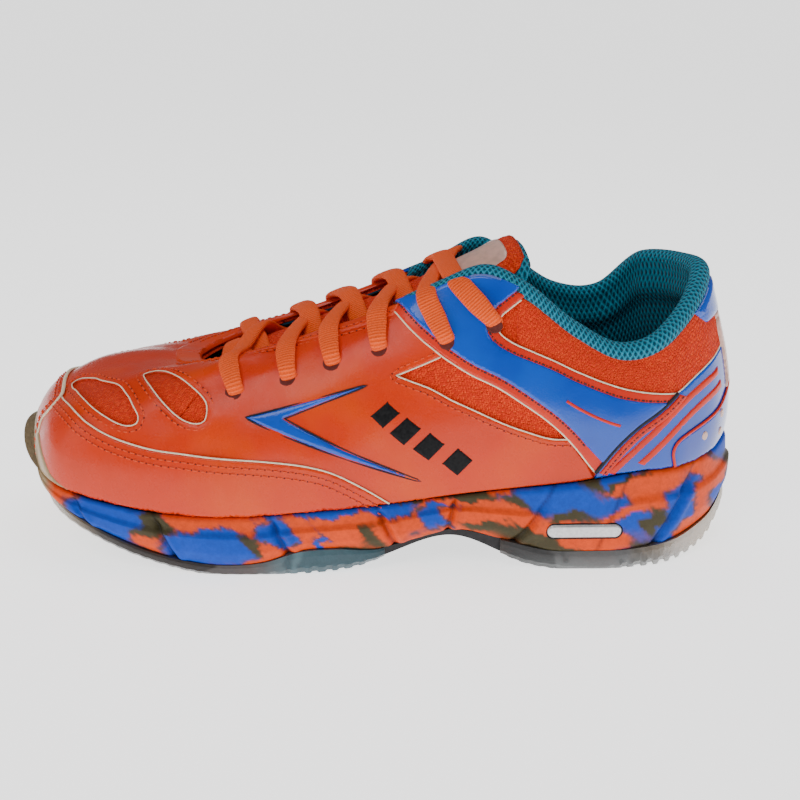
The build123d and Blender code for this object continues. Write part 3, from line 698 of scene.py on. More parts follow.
LEAF_REAR = [(0.174, 0.709), (0.177, 0.748), (0.205, 0.74), (0.257, 0.676), (0.302, 0.601),
             (0.33, 0.54), (0.342, 0.49), (0.347, 0.441), (0.34, 0.425), (0.325, 0.432),
             (0.304, 0.464), (0.267, 0.537), (0.229, 0.613), (0.195, 0.672)]
WINDOW_TOP = [(0.559, 0.581), (0.58, 0.603), (0.607, 0.625)]
WINDOW_LOW = [(0.776, 0.278), (0.746, 0.27), (0.706, 0.301), (0.667, 0.347), (0.63, 0.41),
              (0.596, 0.503), (0.559, 0.581)]
BAND_FRONT = [(0.515, OPENING), (0.53, 0.923), (0.562, 0.80), (0.592, 0.689), (0.617, 0.597),
              (0.645, 0.523), (0.684, 0.475), (0.714, 0.425), (0.752, 0.348), (0.781, 0.241),
              (0.812, 0.05)]
HEEL_SEAM = [(0.812, 0.05), (0.84, 0.24), (0.864, 0.364), (0.895, 0.475), (0.918, 0.56)]
BAND_REAR = [(0.918, 0.56), (0.886, 0.626), (0.847, 0.684), (0.818, 0.704), (0.768, 0.716),
             (0.724, 0.704), (0.69, 0.711), (0.673, 0.741), (0.676, 0.805), (0.688, 0.86),
             (0.705, 0.932), (0.712, OPENING)]
HEEL_TOP = [(0.918, 0.56), (0.945, 0.595), (0.97, 0.595), (1.0, 0.56)]
CHEVRON = [(0.397, 0.456), (0.527, 0.552), (0.443, 0.436), (0.598, 0.087)]
EYELETS = [(0.359, 0.60), (0.418, 0.66), (0.469, 0.71), (0.525, 0.75), (0.611, 0.70), (0.667, 0.77)]
STRIPES = [[(0.832, 0.024), (0.872, 0.235), (0.915, 0.44), (0.945, 0.50), (0.972, 0.50)],
           [(0.870, 0.06), (0.915, 0.30), (0.946, 0.385), (0.975, 0.40)]]
CORNER_EDGE = [(0.915, 0.005), (0.910, 0.12), (0.918, 0.20), (0.944, 0.24), (0.97, 0.265),
               (1.0, 0.295)]
MARK_LONG, MARK_HIGH = 0.0165, 0.062      # half a printed diamond, as shares
VENTS = [(0.948, 0.15), (0.972, 0.21), (0.973, 0.09)]
MARKS = [(0.556, 0.405), (0.580, 0.320), (0.606, 0.235), (0.636, 0.150)]


def heel_side(side, points):
    """Chart points of a piece that goes round the heel: medial points continue past share 1."""
    p = np.array(points, float)
    return p * (-1, 1) if side == LATERAL else np.stack([p[:, 0] - 2, p[:, 1]], -1)


def round_heel(edge):
    """An edge that runs to the heel centre, continued on the medial side."""
    return np.vstack([heel_side(LATERAL, edge), heel_side(MEDIAL, edge)[-2::-1]])


def round_toe(edge):
    """An edge that runs to the toe centre, continued on the medial side."""
    p = np.array(edge, float)
    return np.vstack([p * (-1, 1), p[-2::-1]])


def straight(*corners, pitch=2.0):
    """Chart polyline through corners, sampled about every pitch mm; the last corner is kept."""
    p = np.array(corners, float)
    runs = []
    for a, b in zip(p, p[1:]):
        count = max(2, int(np.linalg.norm((b - a) * CHART) / pitch))
        runs.append(a + (b - a) * (np.arange(count) / count)[:, None])
    return np.vstack(runs + [p[-1:]])


def chain(*runs):
    """Closed outline from sampled runs that meet end to end."""
    return np.vstack([np.asarray(run)[:-1] for run in runs])


def round_dot(centre, radius, count=20):
    """Small circle on the skin round a chart point."""
    angle = 2 * pi * np.arange(count) / count
    w, v = np.full(count, float(centre[0])), np.full(count, float(centre[1]))
    away = np.stack([np.cos(angle), np.sin(angle)], -1)
    return np.stack([w, v], -1) + chart_step(w, v, away, radius)


def shifted(points, along, up=0.0):
    return [(u + along, v + up) for u, v in points]


# ------------------------------------------------------------------ base of the upper
VAMP_END, HEEL_START = 0.313, 0.842
MESH_THICK, MESH_TOP = 1.4, 0.95
FINE = 1.3           # spacing of outline points, mm


def rectangle(start, end, low, high):
    """Chart outline between two shares and two heights."""
    return straight((start, low), (end, low), (end, high), (start, high), (start, low))[:-1]


for name, outline in (
        ("vamp_mesh", rectangle(-VAMP_END, VAMP_END, 0.0, OPENING)),
        ("heel_mesh", rectangle(-HEEL_START, HEEL_START - 2, 0.0, MESH_TOP)),
        ("quarter_mesh_lateral", on_side(LATERAL, rectangle(VAMP_END, HEEL_START, 0.0, MESH_TOP))),
        ("quarter_mesh_medial", on_side(MEDIAL, rectangle(VAMP_END, HEEL_START, 0.0, MESH_TOP)))):
    base = patch(name, [outline], -MESH_THICK, MESH_THICK, mat["coral"],
                 spacing=2.8, edge=0.4)
    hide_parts(name)

# ------------------------------------------------------------------ one coated sheet over vamp and sides
leaves = [catmull(leaf, FINE, closed=True) for leaf in (LEAF_FRONT, LEAF_REAR)]
side_rise = chain(straight((0.812, 0.0), (0.80, 0.12), (0.782, 0.24), (0.776, 0.278)),
                  catmull(WINDOW_LOW, FINE), catmull(WINDOW_TOP, FINE),
                  straight((0.607, 0.625), (0.622, 0.625)),
                  catmull(shifted(BAND_FRONT[3::-1], 0.014), FINE),
                  straight((0.529, OPENING), (0.529, OPENING)))
overlay_outline = np.vstack([straight((-0.812, 0.0), (0.812, 0.0))[:-1], side_rise,
                             straight((0.529, OPENING), (-0.529, OPENING))[1:-1],
                             (side_rise * (-1, 1))[::-1]])
leaf_holes = [on_side(side, leaf) for side in SIDES for leaf in leaves]


def soft_wrinkle(w, v):
    """Slow waves of the coated sheet, strongest over the flex of the forefoot."""
    flex = np.exp(-((np.abs(w) - 0.33) / 0.14)**2)
    return (0.22 * np.sin(w * 61 + v * 9) + 0.16 * np.sin(w * 37 - v * 23)) * (0.4 + flex)


overlay = patch("upper_overlay", [overlay_outline] + leaf_holes, 0.1, 1.05, mat["orange"],
                edge=0.6, wave=soft_wrinkle, spacing=2.0)
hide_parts("vamp_overlay", "side_overlay_lateral", "side_overlay_medial")
for side, name in SIDES.items():
    for i, leaf in enumerate(leaves):
        edge = on_side(side, leaf)
        piping(f"leaf_edge_{name}_{i}", inset(edge, -0.1), 0.95, 0.27, mat["cream"], closed=True)
        stitches(inset(edge, -2.6), 1.15, "orange", closed=True)

# ------------------------------------------------------------------ toe tip and mudguards
tip_line = catmull(round_toe(TIP_EDGE), FINE)
tip = patch("toe_tip", [chain(straight((-0.10, 0.0), (0.10, 0.0)), tip_line[::-1])],
            0.1, 2.2, mat["orange"], edge=0.7)
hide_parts("toe_tip")
bumper_line = catmull(round_toe(BUMPER_EDGE), FINE)
patch("toe_bumper", [chain(straight((-0.205, 0.0), (0.205, 0.0)), bumper_line[::-1])], 0.1, 2.4,
      mat["bumper"], edge=1.6)
piping("toe_tip_edge", tip_line, 1.9, 0.75, mat["cream"], flat=0.9)
for away in (2.4, 4.6):
    stitches(offset_line(tip_line, -away), 2.32, "orange")

for side, name in SIDES.items():
    edge = catmull(MUDGUARD_EDGE, FINE)
    outline = on_side(side, chain(straight((0.566, 0.0), (0.07, 0.0), (0.07, 0.40), (0.088, 0.42)), edge))
    guard = patch(f"mudguard_{name}", [outline], 0.1, 1.85, mat["orange"], edge=0.7)
    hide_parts(f"mudguard_{name}")
    line = on_side(side, edge)
    piping(f"mudguard_edge_{name}", line, 1.6, 0.34, mat["cream"])
    for away in (3.0, 5.4):
        stitches(offset_line(line, -away * side), 1.97, "orange")

# ------------------------------------------------------------------ eyestay edge
eyestay_low = [(0.12, 0.90), (0.20, 0.888), (0.31, 0.885), (0.42, 0.89), (0.53, 0.91)]
for side, name in SIDES.items():
    strip = chain(straight((0.533, 0.985), (0.0, 0.985)), straight((0.0, 0.985), (0.0, 0.90)),
                  catmull([(0.0, 0.90)] + eyestay_low, FINE), straight((0.53, 0.91), (0.533, 0.985)))
    stay = patch(f"eyestay_{name}", [on_side(side, strip)], 0.1, 1.75, mat["orange_deep"],
                 edge=0.6)
    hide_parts(f"eyestay_{name}")
    low = catmull(eyestay_low, FINE)
    stitches(on_side(side, low) - (0, 0.022), 1.16, "orange")
    stitches(on_side(side, low) + (0, 0.030), 1.86, "orange")
    for i, eyelet in enumerate(EYELETS):
        # Dark discs of the hole colour: painted shade inside the eyelet holes.
        hole = round_dot((side * eyelet[0], eyelet[1] - 0.012), 3.3)
        patch(f"eyelet_{name}_{i}", [hole], 1.1, 0.15 if i < 4 else 1.35, mat["hole"],
              edge=0.3)

# ------------------------------------------------------------------ blue ankle bands
STRIP = 3.6


for side, name in SIDES.items():
    front, rear = catmull(BAND_FRONT, FINE), catmull(BAND_REAR, FINE)
    seam = catmull(HEEL_SEAM, FINE)
    top = straight((0.712, OPENING), (0.515, OPENING))
    band_base = patch(f"ankle_band_edge_{name}", [on_side(side, chain(front, seam, rear, top))], 0.1, 1.7,
                      mat["red_strip"], edge=0.5)
    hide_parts(f"ankle_band_{name}")
    front_line, rear_line = on_side(side, front), on_side(side, rear)
    front_in = offset_line(front_line, STRIP * side)
    rear_in = offset_line(rear_line, STRIP * side)
    keep_front = front_in[np.abs(front_in[:, 0]) < 0.80]
    keep_rear = rear_in[np.abs(rear_in[:, 0]) < 0.905]
    join = on_side(side, catmull(HEEL_SEAM, FINE)[4:-3])
    face = np.vstack([keep_front, join, keep_rear])
    patch(f"ankle_band_{name}", [face], 1.6, 0.75, mat["blue"], edge=0.7)
    piping(f"band_edge_front_{name}", front_line[2:], 1.5, 0.32, mat["cream"])
    piping(f"band_edge_rear_{name}", rear_line[:-2], 1.5, 0.32, mat["cream"])
    for line, keep in ((front_line, keep_front), (rear_line, keep_rear)):
        stitches(offset_line(keep, -0.5 * side), 1.85, "dark", width=0.3, share=0.45)

BAND_LINE = [(0.770, 0.512), (0.806, 0.452), (0.842, 0.392)]
for side, name in SIDES.items():
    line = on_side(side, catmull(BAND_LINE, FINE))
    points = on_skin(line[:, 0], line[:, 1], 2.42)
    tube(f"band_line_{name}", points, 0.55, mat["red_strip"], up=normals(line[:, 0], line[:, 1]), flat=0.45,
         sides=8)

# ------------------------------------------------------------------ heel
seam_line = catmull(HEEL_SEAM, FINE)
heel_outline = np.vstack([straight((-0.812, 0.0), (-1.188, 0.0))[:-1], heel_side(MEDIAL, seam_line)[1:],
                          catmull(round_heel(HEEL_TOP), FINE)[::-1][1:-1],
                          heel_side(LATERAL, seam_line)[::-1][:-1]])
heel = patch("heel_overlay", [heel_outline], 0.1, 1.45, mat["blue"], edge=0.7)
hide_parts("heel_overlay")
collar_outline = np.vstack([catmull(round_heel([(0.70, 0.70), (0.768, 0.70), (0.847, 0.66), (0.915, 0.54),
                                               (0.96, 0.52), (1.0, 0.52)]), FINE),
                            straight((-1.30, 0.70), (-1.30, 0.95), (-0.70, 0.95), (-0.70, 0.70))[1:-1]])


def seam_dimples(w, v):
    return 0.12 * np.sin(np.abs(signed(w)) * 95) * np.sin(v * 40)


collar_panel = patch("collar_panel", [collar_outline], 0.0, 0.95, mat["coral"],
                     spacing=2.4, bulge=0.5, wave=seam_dimples)
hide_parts("collar_panel")
for side, name in SIDES.items():
    line = heel_side(side, seam_line)
    piping(f"heel_seam_{name}", line, 1.9, 0.75, mat["seam_pipe_and_edge_shade"])
    patch(f"heel_seam_strip_{name}", [band_between(line, -1.2 * side, -4.6 * side)], 1.1, 1.0,
          mat["red_strip"], edge=0.5)
    stitches(offset_line(line, -3.0 * side), 2.15, "dark", width=0.22, share=0.45)
    for i, stripe in enumerate(STRIPES):
        run = heel_side(side, catmull(stripe, FINE))
        patch(f"heel_stripe_{name}_{i}", [band_between(run, -1.5, 1.5)], 1.3, 0.75, mat["red_strip"],
              edge=0.6)
    for i, vent in enumerate(VENTS):
        hole = round_dot(heel_side(side, [vent])[0], 1.9)
        patch(f"heel_vent_{name}_{i}", [hole], 1.9, 0.75, mat["film"], edge=0.5)
corner_line = catmull(round_heel(CORNER_EDGE), FINE)
corner = patch("heel_corner", [np.vstack([corner_line, straight((-1.085, 0.0), (-0.915, 0.0))])], 0.1, 2.1,
               mat["blue"], edge=0.7)
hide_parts("heel_corner")
piping("heel_corner_edge", corner_line, 2.0, 0.65, mat["red_strip"])
for side, name in SIDES.items():
    top = heel_side(side, catmull(HEEL_TOP, FINE))
    piping(f"heel_top_edge_{name}", top, 1.25, 0.3, mat["cream"])
tab = patch("heel_tab", [np.vstack([straight((-1.045, 0.955), (-0.955, 0.955), (-0.968, 0.82), (-1.0, 0.74),
                                            (-1.032, 0.82), (-1.045, 0.955))[:-1]])], 0.1, 2.6, mat["blue"],
            edge=1.6)
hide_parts("heel_tab")
stay = patch("backstay", [straight((-1.016, 0.30), (-0.984, 0.30), (-0.986, 0.78), (-1.014, 0.78),
                                  (-1.016, 0.30))[:-1]], 0.1, 2.3, mat["film"], edge=1.2)
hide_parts("backstay")

# ------------------------------------------------------------------ raised marks on the sides
for side, name in SIDES.items():
    arrow = on_side(side, straight(*CHEVRON, CHEVRON[0], pitch=1.3)[:-1])
    chevron = patch(f"chevron_{name}", [arrow], 1.0, 0.85, mat["blue"], edge=1.1)
    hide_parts(f"chevron_{name}")
    # Dark line round the raised chevron: painted shade at its edge.
    piping(f"chevron_edge_shade_{name}", inset(arrow, -0.35), 1.15, 0.32, mat["seam_pipe_and_edge_shade"], closed=True)
    for i, (u, v) in enumerate(MARKS):
        diamond = straight((u - MARK_LONG, v), (u, v + MARK_HIGH), (u + MARK_LONG, v), (u, v - MARK_HIGH),
                           (u - MARK_LONG, v), pitch=0.9)[:-1]
        mark = patch(f"side_mark_{name}_{i}", [on_side(side, diamond)], 1.05, 0.4, mat["black"],
                     edge=0.5)
        if i == 0:
            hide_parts(f"side_mark_{name}")
    window_line = on_side(side, np.vstack([catmull(WINDOW_LOW, FINE), catmull(WINDOW_TOP, FINE)[1:]]))
    piping(f"window_edge_{name}", window_line, 0.95, 0.3, mat["cream"])
    stitches(offset_line(window_line, 2.4 * side), 1.15, "orange")


# ------------------------------------------------------------------ padded collar
def collar_pad():
    """Teal lining: a roll over the top line and a padded inside, all round the ankle."""
    shares = np.linspace(-0.535, -1.465, 190)
    u = np.abs(signed(shares))
    full = np.clip((u - 0.56) / 0.2, 0, 1)
    full = 0.3 + 0.7 * full * full * (3 - 2 * full)
    top, low = skin(shares, 1.0), skin(shares, 0.96)
    rise = top - low
    rise /= np.linalg.norm(rise, axis=1, keepdims=True)
    out = normals(shares, np.full_like(shares, 0.97))
    roll = 1.6 + 2.4 * full
    centre = top + out * (2.3 - roll)[:, None] - rise * (0.2 * roll)[:, None]
    rows = []
    for angle in np.linspace(-1.1, pi * 1.02, 16):
        rows.append(centre + out * (roll * cos(angle))[:, None] + rise * (roll * sin(angle))[:, None])
    inner_start = 2.3 - 2 * roll
    ripple = 0.25 * np.sin(shares * 90) * full
    for v in np.linspace(0.93, -0.08, 25):
        pad = np.clip((v - 0.42) / 0.2, 0, 1)
        pad = pad * pad * (3 - 2 * pad)
        reach = np.clip((0.93 - v) / 0.15, 0, 1)
        deep = -(4.2 + (1.3 + 5.2 * full) * pad * np.sin(pi * (0.35 + 0.55 * reach)))
        blend = np.clip((0.93 - v) / 0.12, 0, 1)
        deep = inner_start * (1 - blend) + (deep + ripple * pad) * blend
        rows.append(on_skin(shares, np.full_like(shares, v), deep))
    for v in np.linspace(-0.08, 0.90, 13):
        rows.append(on_skin(shares, np.full_like(shares, v), np.full_like(shares, -2.6)))
    verts = np.stack(rows, 1)
    count = verts.shape[1]
    faces = grid_faces(len(shares), count, wrap=True)
    faces += [tuple(range(count))[::-1], tuple((len(shares) - 1) * count + k for k in range(count))]
    along = np.r_[0, np.cumsum(np.linalg.norm(np.diff(verts[:, 8], axis=0), axis=1))]
    across = np.r_[0, np.cumsum(np.linalg.norm(np.diff(verts[60], axis=0), axis=1))]
    uv = np.stack([np.repeat(along, count), np.tile(across, len(shares))], -1)
    return new_object("collar_lining", verts.reshape(-1, 3), faces, mat["teal"], uv=uv)


collar = collar_pad()
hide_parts("collar_foam", "ankle_lining", "heel_lining")

# ------------------------------------------------------------------ tongue
# Tongue stations, mm: x, crown height, half width, drop of the sides below the crown.
TONGUE_STATIONS = [(-84, 55.5, 13, 3), (-72, 60.5, 14, 3), (-65, 61.6, 15.5, 3.5), (-61.5, 68.8, 17.5, 3.4),
                   (-56, 72.2, 19.5, 4.2), (-40, 78.8, 22, 8.5), (-20, 86.8, 25, 11.5), (4, 96, 26.5, 14),
                   (25, 105.5, 26, 15), (42, 113.5, 24, 12), (57, 121.5, 21, 7)]
TONGUE_X, *TONGUE_COLUMNS = np.array(TONGUE_STATIONS, float).T


def tongue_at(x):
    """Crown height, half width and drop of the tongue at x."""
    return [np.interp(x, TONGUE_X, column) for column in TONGUE_COLUMNS]


TONGUE_SKEW = 0.22        # how much further back the lateral corner of the tongue's tip lies


def tongue_layer(name, start, end, grow, top, thick, material, count=60, corner=6.0, quilt=0.0):
    """Closed crowned sheet over the tongue with a full round edge."""
    xs = np.linspace(start, end, count)
    profile = 44
    verts = []
    for x in xs:
        crown, half, drop = tongue_at(x)
        near_end = min(x - start, end - x)
        squeeze = np.sqrt(1 - (1 - min(1, (near_end + 0.05) / corner))**2) if near_end < corner else 1
        widen = grow[0] + (grow[1] - grow[0]) * min(1, max(0, (x - 5) / 30))
        half_here = (half + widen) * (1 - 0.22 * (1 - squeeze))
        body = thick * (0.25 + 0.75 * squeeze)
        for k in range(profile):
            angle = 2 * pi * k / profile
            c, s = np.cos(angle), np.sin(angle)
            y = half_here * np.sign(c) * abs(c)**0.55
            lift = np.sign(s) * abs(s)**0.6 * body / 2
            sag = drop * (y / half)**2
            ripple = quilt * np.sin(x * 0.5) * np.cos(y * 0.22)
            lean = -TONGUE_SKEW * y * min(1, max(0, (x - 18) / 34))
            verts.append((x + lean, y, crown + top - thick / 2 - sag + lift + (ripple if s > 0 else 0)))
    verts = np.array(verts)
    faces = grid_faces(count, profile, wrap=True)
    faces += [tuple(range(profile))[::-1], tuple((count - 1) * profile + k for k in range(profile))]
    uv = verts[:, :2].copy()
    obj = new_object(name, verts, faces, material, TONGUE, uv=uv)
    return obj


tongue_pad = tongue_layer("tongue_padding", -83, 57.0, (0.6, 1.2), -0.6, 6.4, mat["teal"],
                          quilt=0.2)
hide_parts("tongue_foam", "tongue_lining")
tongue_cover = tongue_layer("tongue_face", -84, 55.0, (0.9, -2.2), 0.5, 2.4, mat["coral"],
                            quilt=0.25)
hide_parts("tongue_face")
label = tongue_layer("tongue_label", 33, 50, (-9, -9), 1.2, 1.3, mat["film"],
                     count=24, corner=2.0)
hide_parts("tongue_label")

# ------------------------------------------------------------------ lace
LEAVE = [0.24, 0.345, 0.415, 0.497, 0.57, 0.61]
ARRIVE = [0.20, 0.285, 0.38, 0.46, 0.535]
EDGE = 0.98
STRAND_ABOVE, STRAND_BELOW = 3.6, -4.3
HUMP_REACH, LOW_STRAND, HIGH_STRAND = 5, 2.2, 5.2
TAIL = [(0.655, 0.60), (0.635, 0.47), (0.60, 0.36)]
TAIL_DEPTH = -5.2
LACE_WIDE, LACE_THICK = 8.0, 2.8


def spot(side, u, v, depth):
    return on_skin(np.array([side * u]), np.array([v]), depth)[0]


def hump(start, end, height):
    """Two points that carry a strand over the middle of the tongue."""
    middle = (start + end) / 2
    step = (end - start) * (1, 1, 0)
    step *= HUMP_REACH / np.linalg.norm(step)
    crown = tongue_at(middle[0])[0]
    top = np.array([middle[0], middle[1], crown + height])
    return [top - step, top + step]


def lace_half(side):
    """Route of one end of the lace, from its lowest eyelet up to its tail."""
    points = []
    for i, (u, v) in enumerate(EYELETS[:-1]):
        points += [spot(side, u, v, STRAND_BELOW), spot(side, u, v, STRAND_ABOVE)]
        leave = spot(side, LEAVE[i], EDGE, STRAND_ABOVE)
        if i == len(EYELETS) - 2:
            arrive = spot(-side, LEAVE[-1], EDGE, STRAND_ABOVE)
        else:
            arrive = spot(-side, ARRIVE[i + 1], EDGE, STRAND_BELOW)
        over = (side == MEDIAL) != (i == 0)
        height = HIGH_STRAND if over else LOW_STRAND
        points += [spot(side, (u + LEAVE[i]) / 2, (v + EDGE) / 2, STRAND_ABOVE), leave]
        points += hump(leave, arrive, height) + [arrive]
        side = -side
    u, v = EYELETS[-1]
    points += [spot(side, u, v, STRAND_ABOVE), spot(side, u, v, STRAND_BELOW)]
    return points + [spot(side, u, v, TAIL_DEPTH) for u, v in TAIL]


def spline(points, per_span=14):
    """Uniform cubic B-spline through the neighbourhood of its points, ends kept."""
    p = np.vstack([2 * points[0] - points[1], points, 2 * points[-1] - points[-2]])
    t = (np.arange(per_span) / per_span)[:, None]
    out = []
    for a, b, c, d in zip(p, p[1:], p[2:], p[3:]):
        smooth_run = ((1 - t)**3 * a + (3 * t**3 - 6 * t**2 + 4) * b
                      + (-3 * t**3 + 3 * t**2 + 3 * t + 1) * c + t**3 * d) / 6
        direct = 0.5 * (2 * b + (c - a) * t + (2 * a - 5 * b + 4 * c - d) * t**2
                        + (3 * b - a - 3 * c + d) * t**3)
        out.append(0.55 * smooth_run + 0.45 * direct)
    return np.vstack(out + [points[-1:]])


bar = [spot(side, ARRIVE[0], EDGE, STRAND_BELOW) for side in SIDES]
route = np.array(lace_half(LATERAL)[::-1] + [bar[0]] + hump(*bar, LOW_STRAND) + [bar[1]]
                 + lace_half(MEDIAL))


def lace_ribbon():
    """Flat woven lace along the route, narrower where it passes an eyelet."""
    line = spline(route)
    run = np.r_[0, np.cumsum(np.linalg.norm(np.diff(line, axis=0), axis=1))]
    even = np.linspace(0, run[-1], int(run[-1] / 1.3))
    line = np.stack([np.interp(even, run, line[:, k]) for k in range(3)], -1)
    holes = np.array([spot(side, u, v, 1.0) for side in SIDES for u, v in EYELETS])
    away = np.linalg.norm(line[:, None] - holes[None], axis=2).min(1)
    narrow = np.clip((away - 2.0) / 7.0, 0, 1)
    wide = LACE_WIDE * (0.80 + 0.20 * narrow)
    thick = LACE_THICK * (1.35 - 0.35 * narrow)
    along = np.gradient(line, axis=0)
    along /= np.linalg.norm(along, axis=1, keepdims=True)
    across = np.tile((1.0, 0.0, 0.42), (len(line), 1))
    across -= along * np.sum(across * along, 1, keepdims=True)
    weak = np.linalg.norm(across, axis=1) < 0.35
    across[weak] = 0
    for k in range(1, len(line)):
        if weak[k]:
            across[k] = across[k - 1] - along[k] * (across[k - 1] @ along[k])
        elif across[k] @ across[k - 1] < 0:
            across[k] = -across[k]
    kernel = np.hanning(13)
    kernel /= kernel.sum()
    across = np.stack([np.convolve(np.pad(across[:, k], 6, mode="edge"), kernel, "valid")
                       for k in range(3)], -1)
    across -= along * np.sum(across * along, 1, keepdims=True)
    across /= np.maximum(np.linalg.norm(across, axis=1, keepdims=True), 1e-9)
    up = np.cross(along, across)
    profile = 16
    angle = 2 * pi * np.arange(profile) / profile
    c = np.sign(np.cos(angle)) * np.abs(np.cos(angle))**0.7
    s = np.sign(np.sin(angle)) * np.abs(np.sin(angle))**0.8
    verts = (line[:, None] + across[:, None] * (c[None, :, None] * wide[:, None, None] / 2)
             + up[:, None] * (s[None, :, None] * thick[:, None, None] / 2))
    faces = grid_faces(len(line), profile, wrap=True)
    faces += [tuple(range(profile))[::-1], tuple((len(line) - 1) * profile + k for k in range(profile))]
    uv = np.stack([np.repeat(even, profile), np.tile(c * LACE_WIDE / 2, len(line))], -1)
    return new_object("lace", verts.reshape(-1, 3), faces, mat["lace"], uv=uv)


lace = lace_ribbon()
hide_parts("lace")

# ------------------------------------------------------------------ sole unit
TOE_SPRING = [(-146, 40), (-137, 31.5), (-123, 21.5), (-104, 12), (-79, 3.6), (-62, 0)]
ARCH = [(-22, 0), (-2, 2.4), (14, 8.4), (33, 13.2), (50, 7), (60, 2.6), (72, 0)]
HEEL_ROCKER = [(112, 0), (124, 1.6), (133, 5), (140, 11.5), (146, 19.5)]
PARTING = [(-146, 41), (-137, 33.5), (-123, 24.5), (-104, 15.5), (-79, 7), (-52, 3.4), (-38, 4.6),
           (-25, 8.6), (-12, 9.4), (4, 8.6), (20, 12.8), (34, 16), (51, 12), (69, 7.6), (90, 7.2), (106, 7.6),
           (127, 11), (138, 16), (146, 24)]
WALL_TOP = [(-146, 41.5), (-137, 34.5), (-121, 28.6), (-92, 24), (-58, 22), (-20, 24), (14, 26.6),
            (36, 29.4), (58, 32), (80, 34.6), (100, 37.8), (121, 38.6), (134, 40.6), (146, 44.4)]


def side_height(points, x):
    """Height of a side-view line at x, smoothed."""
    xs, zs = np.array(points, float).T
    slopes = np.gradient(zs, xs)
    i = np.clip(np.searchsorted(xs, x, side="right") - 1, 0, len(xs) - 2)
    h = xs[i + 1] - xs[i]
    t = np.clip((x - xs[i]) / h, 0, 1)
    return ((2 * t**3 - 3 * t**2 + 1) * zs[i] + (t**3 - 2 * t**2 + t) * h * slopes[i]
            + (3 * t**2 - 2 * t**3) * zs[i + 1] + (t**3 - t**2) * h * slopes[i + 1])


GROUND = TOE_SPRING + ARCH + HEEL_ROCKER


def feather_ring(count):
    """Evenly spaced feather points round the shoe, their outward directions and signed shares."""
    w = np.linspace(-1, 1, 1601)[:-1]
    p = skin(w, 0.0)[:, :2]
    run = np.r_[0, np.cumsum(np.linalg.norm(np.diff(np.vstack([p, p[:1]]), axis=0), axis=1))]
    share = np.interp(np.linspace(0, run[-1], count, endpoint=False), run, np.r_[w, 1.0])
    p = skin(share, 0.0)[:, :2]
    along = np.roll(p, -1, 0) - np.roll(p, 1, 0)
    out = np.stack([along[:, 1], -along[:, 0]], -1)
    out /= np.linalg.norm(out, axis=1, keepdims=True)
    centre = p.mean(0)
    if np.sum((p - centre) * out) < 0:
        out = -out
    return p, out, share


def toe_share(share, reach):
    """1 at the toe, fading to 0 at the reach, further round on the medial side."""
    return np.exp(-(share / np.where(share > 0, reach + 0.06, reach))**4)


CUTS = [(-112, -106), (-80, -72), (-36, -29), (4, 11), (34, 31), (71, 56), (99, 88), (126, 110)]


def facets(x, t):
    """Sculpted relief of the foam wall: panels under a ledge, parted by slanted cuts."""
    step = np.clip((t - 0.60) / 0.07, 0, 1)
    panel = 1.5 * (1 - step * step * (3 - 2 * step)) * np.clip(t / 0.25, 0.3, 1)
    relief = panel + 0.5 * np.sin(x / 11.0 + 2.2 * t)
    for high, low in CUTS:
        off = x - (low + (high - low) * t)
        relief -= 2.1 * np.exp(-(off / 1.3)**2) * np.clip((0.97 - t) / 0.2, 0, 1)
        relief += 0.7 * np.exp(-((off - 3.0) / 1.6)**2) * (1 - step)
    return relief


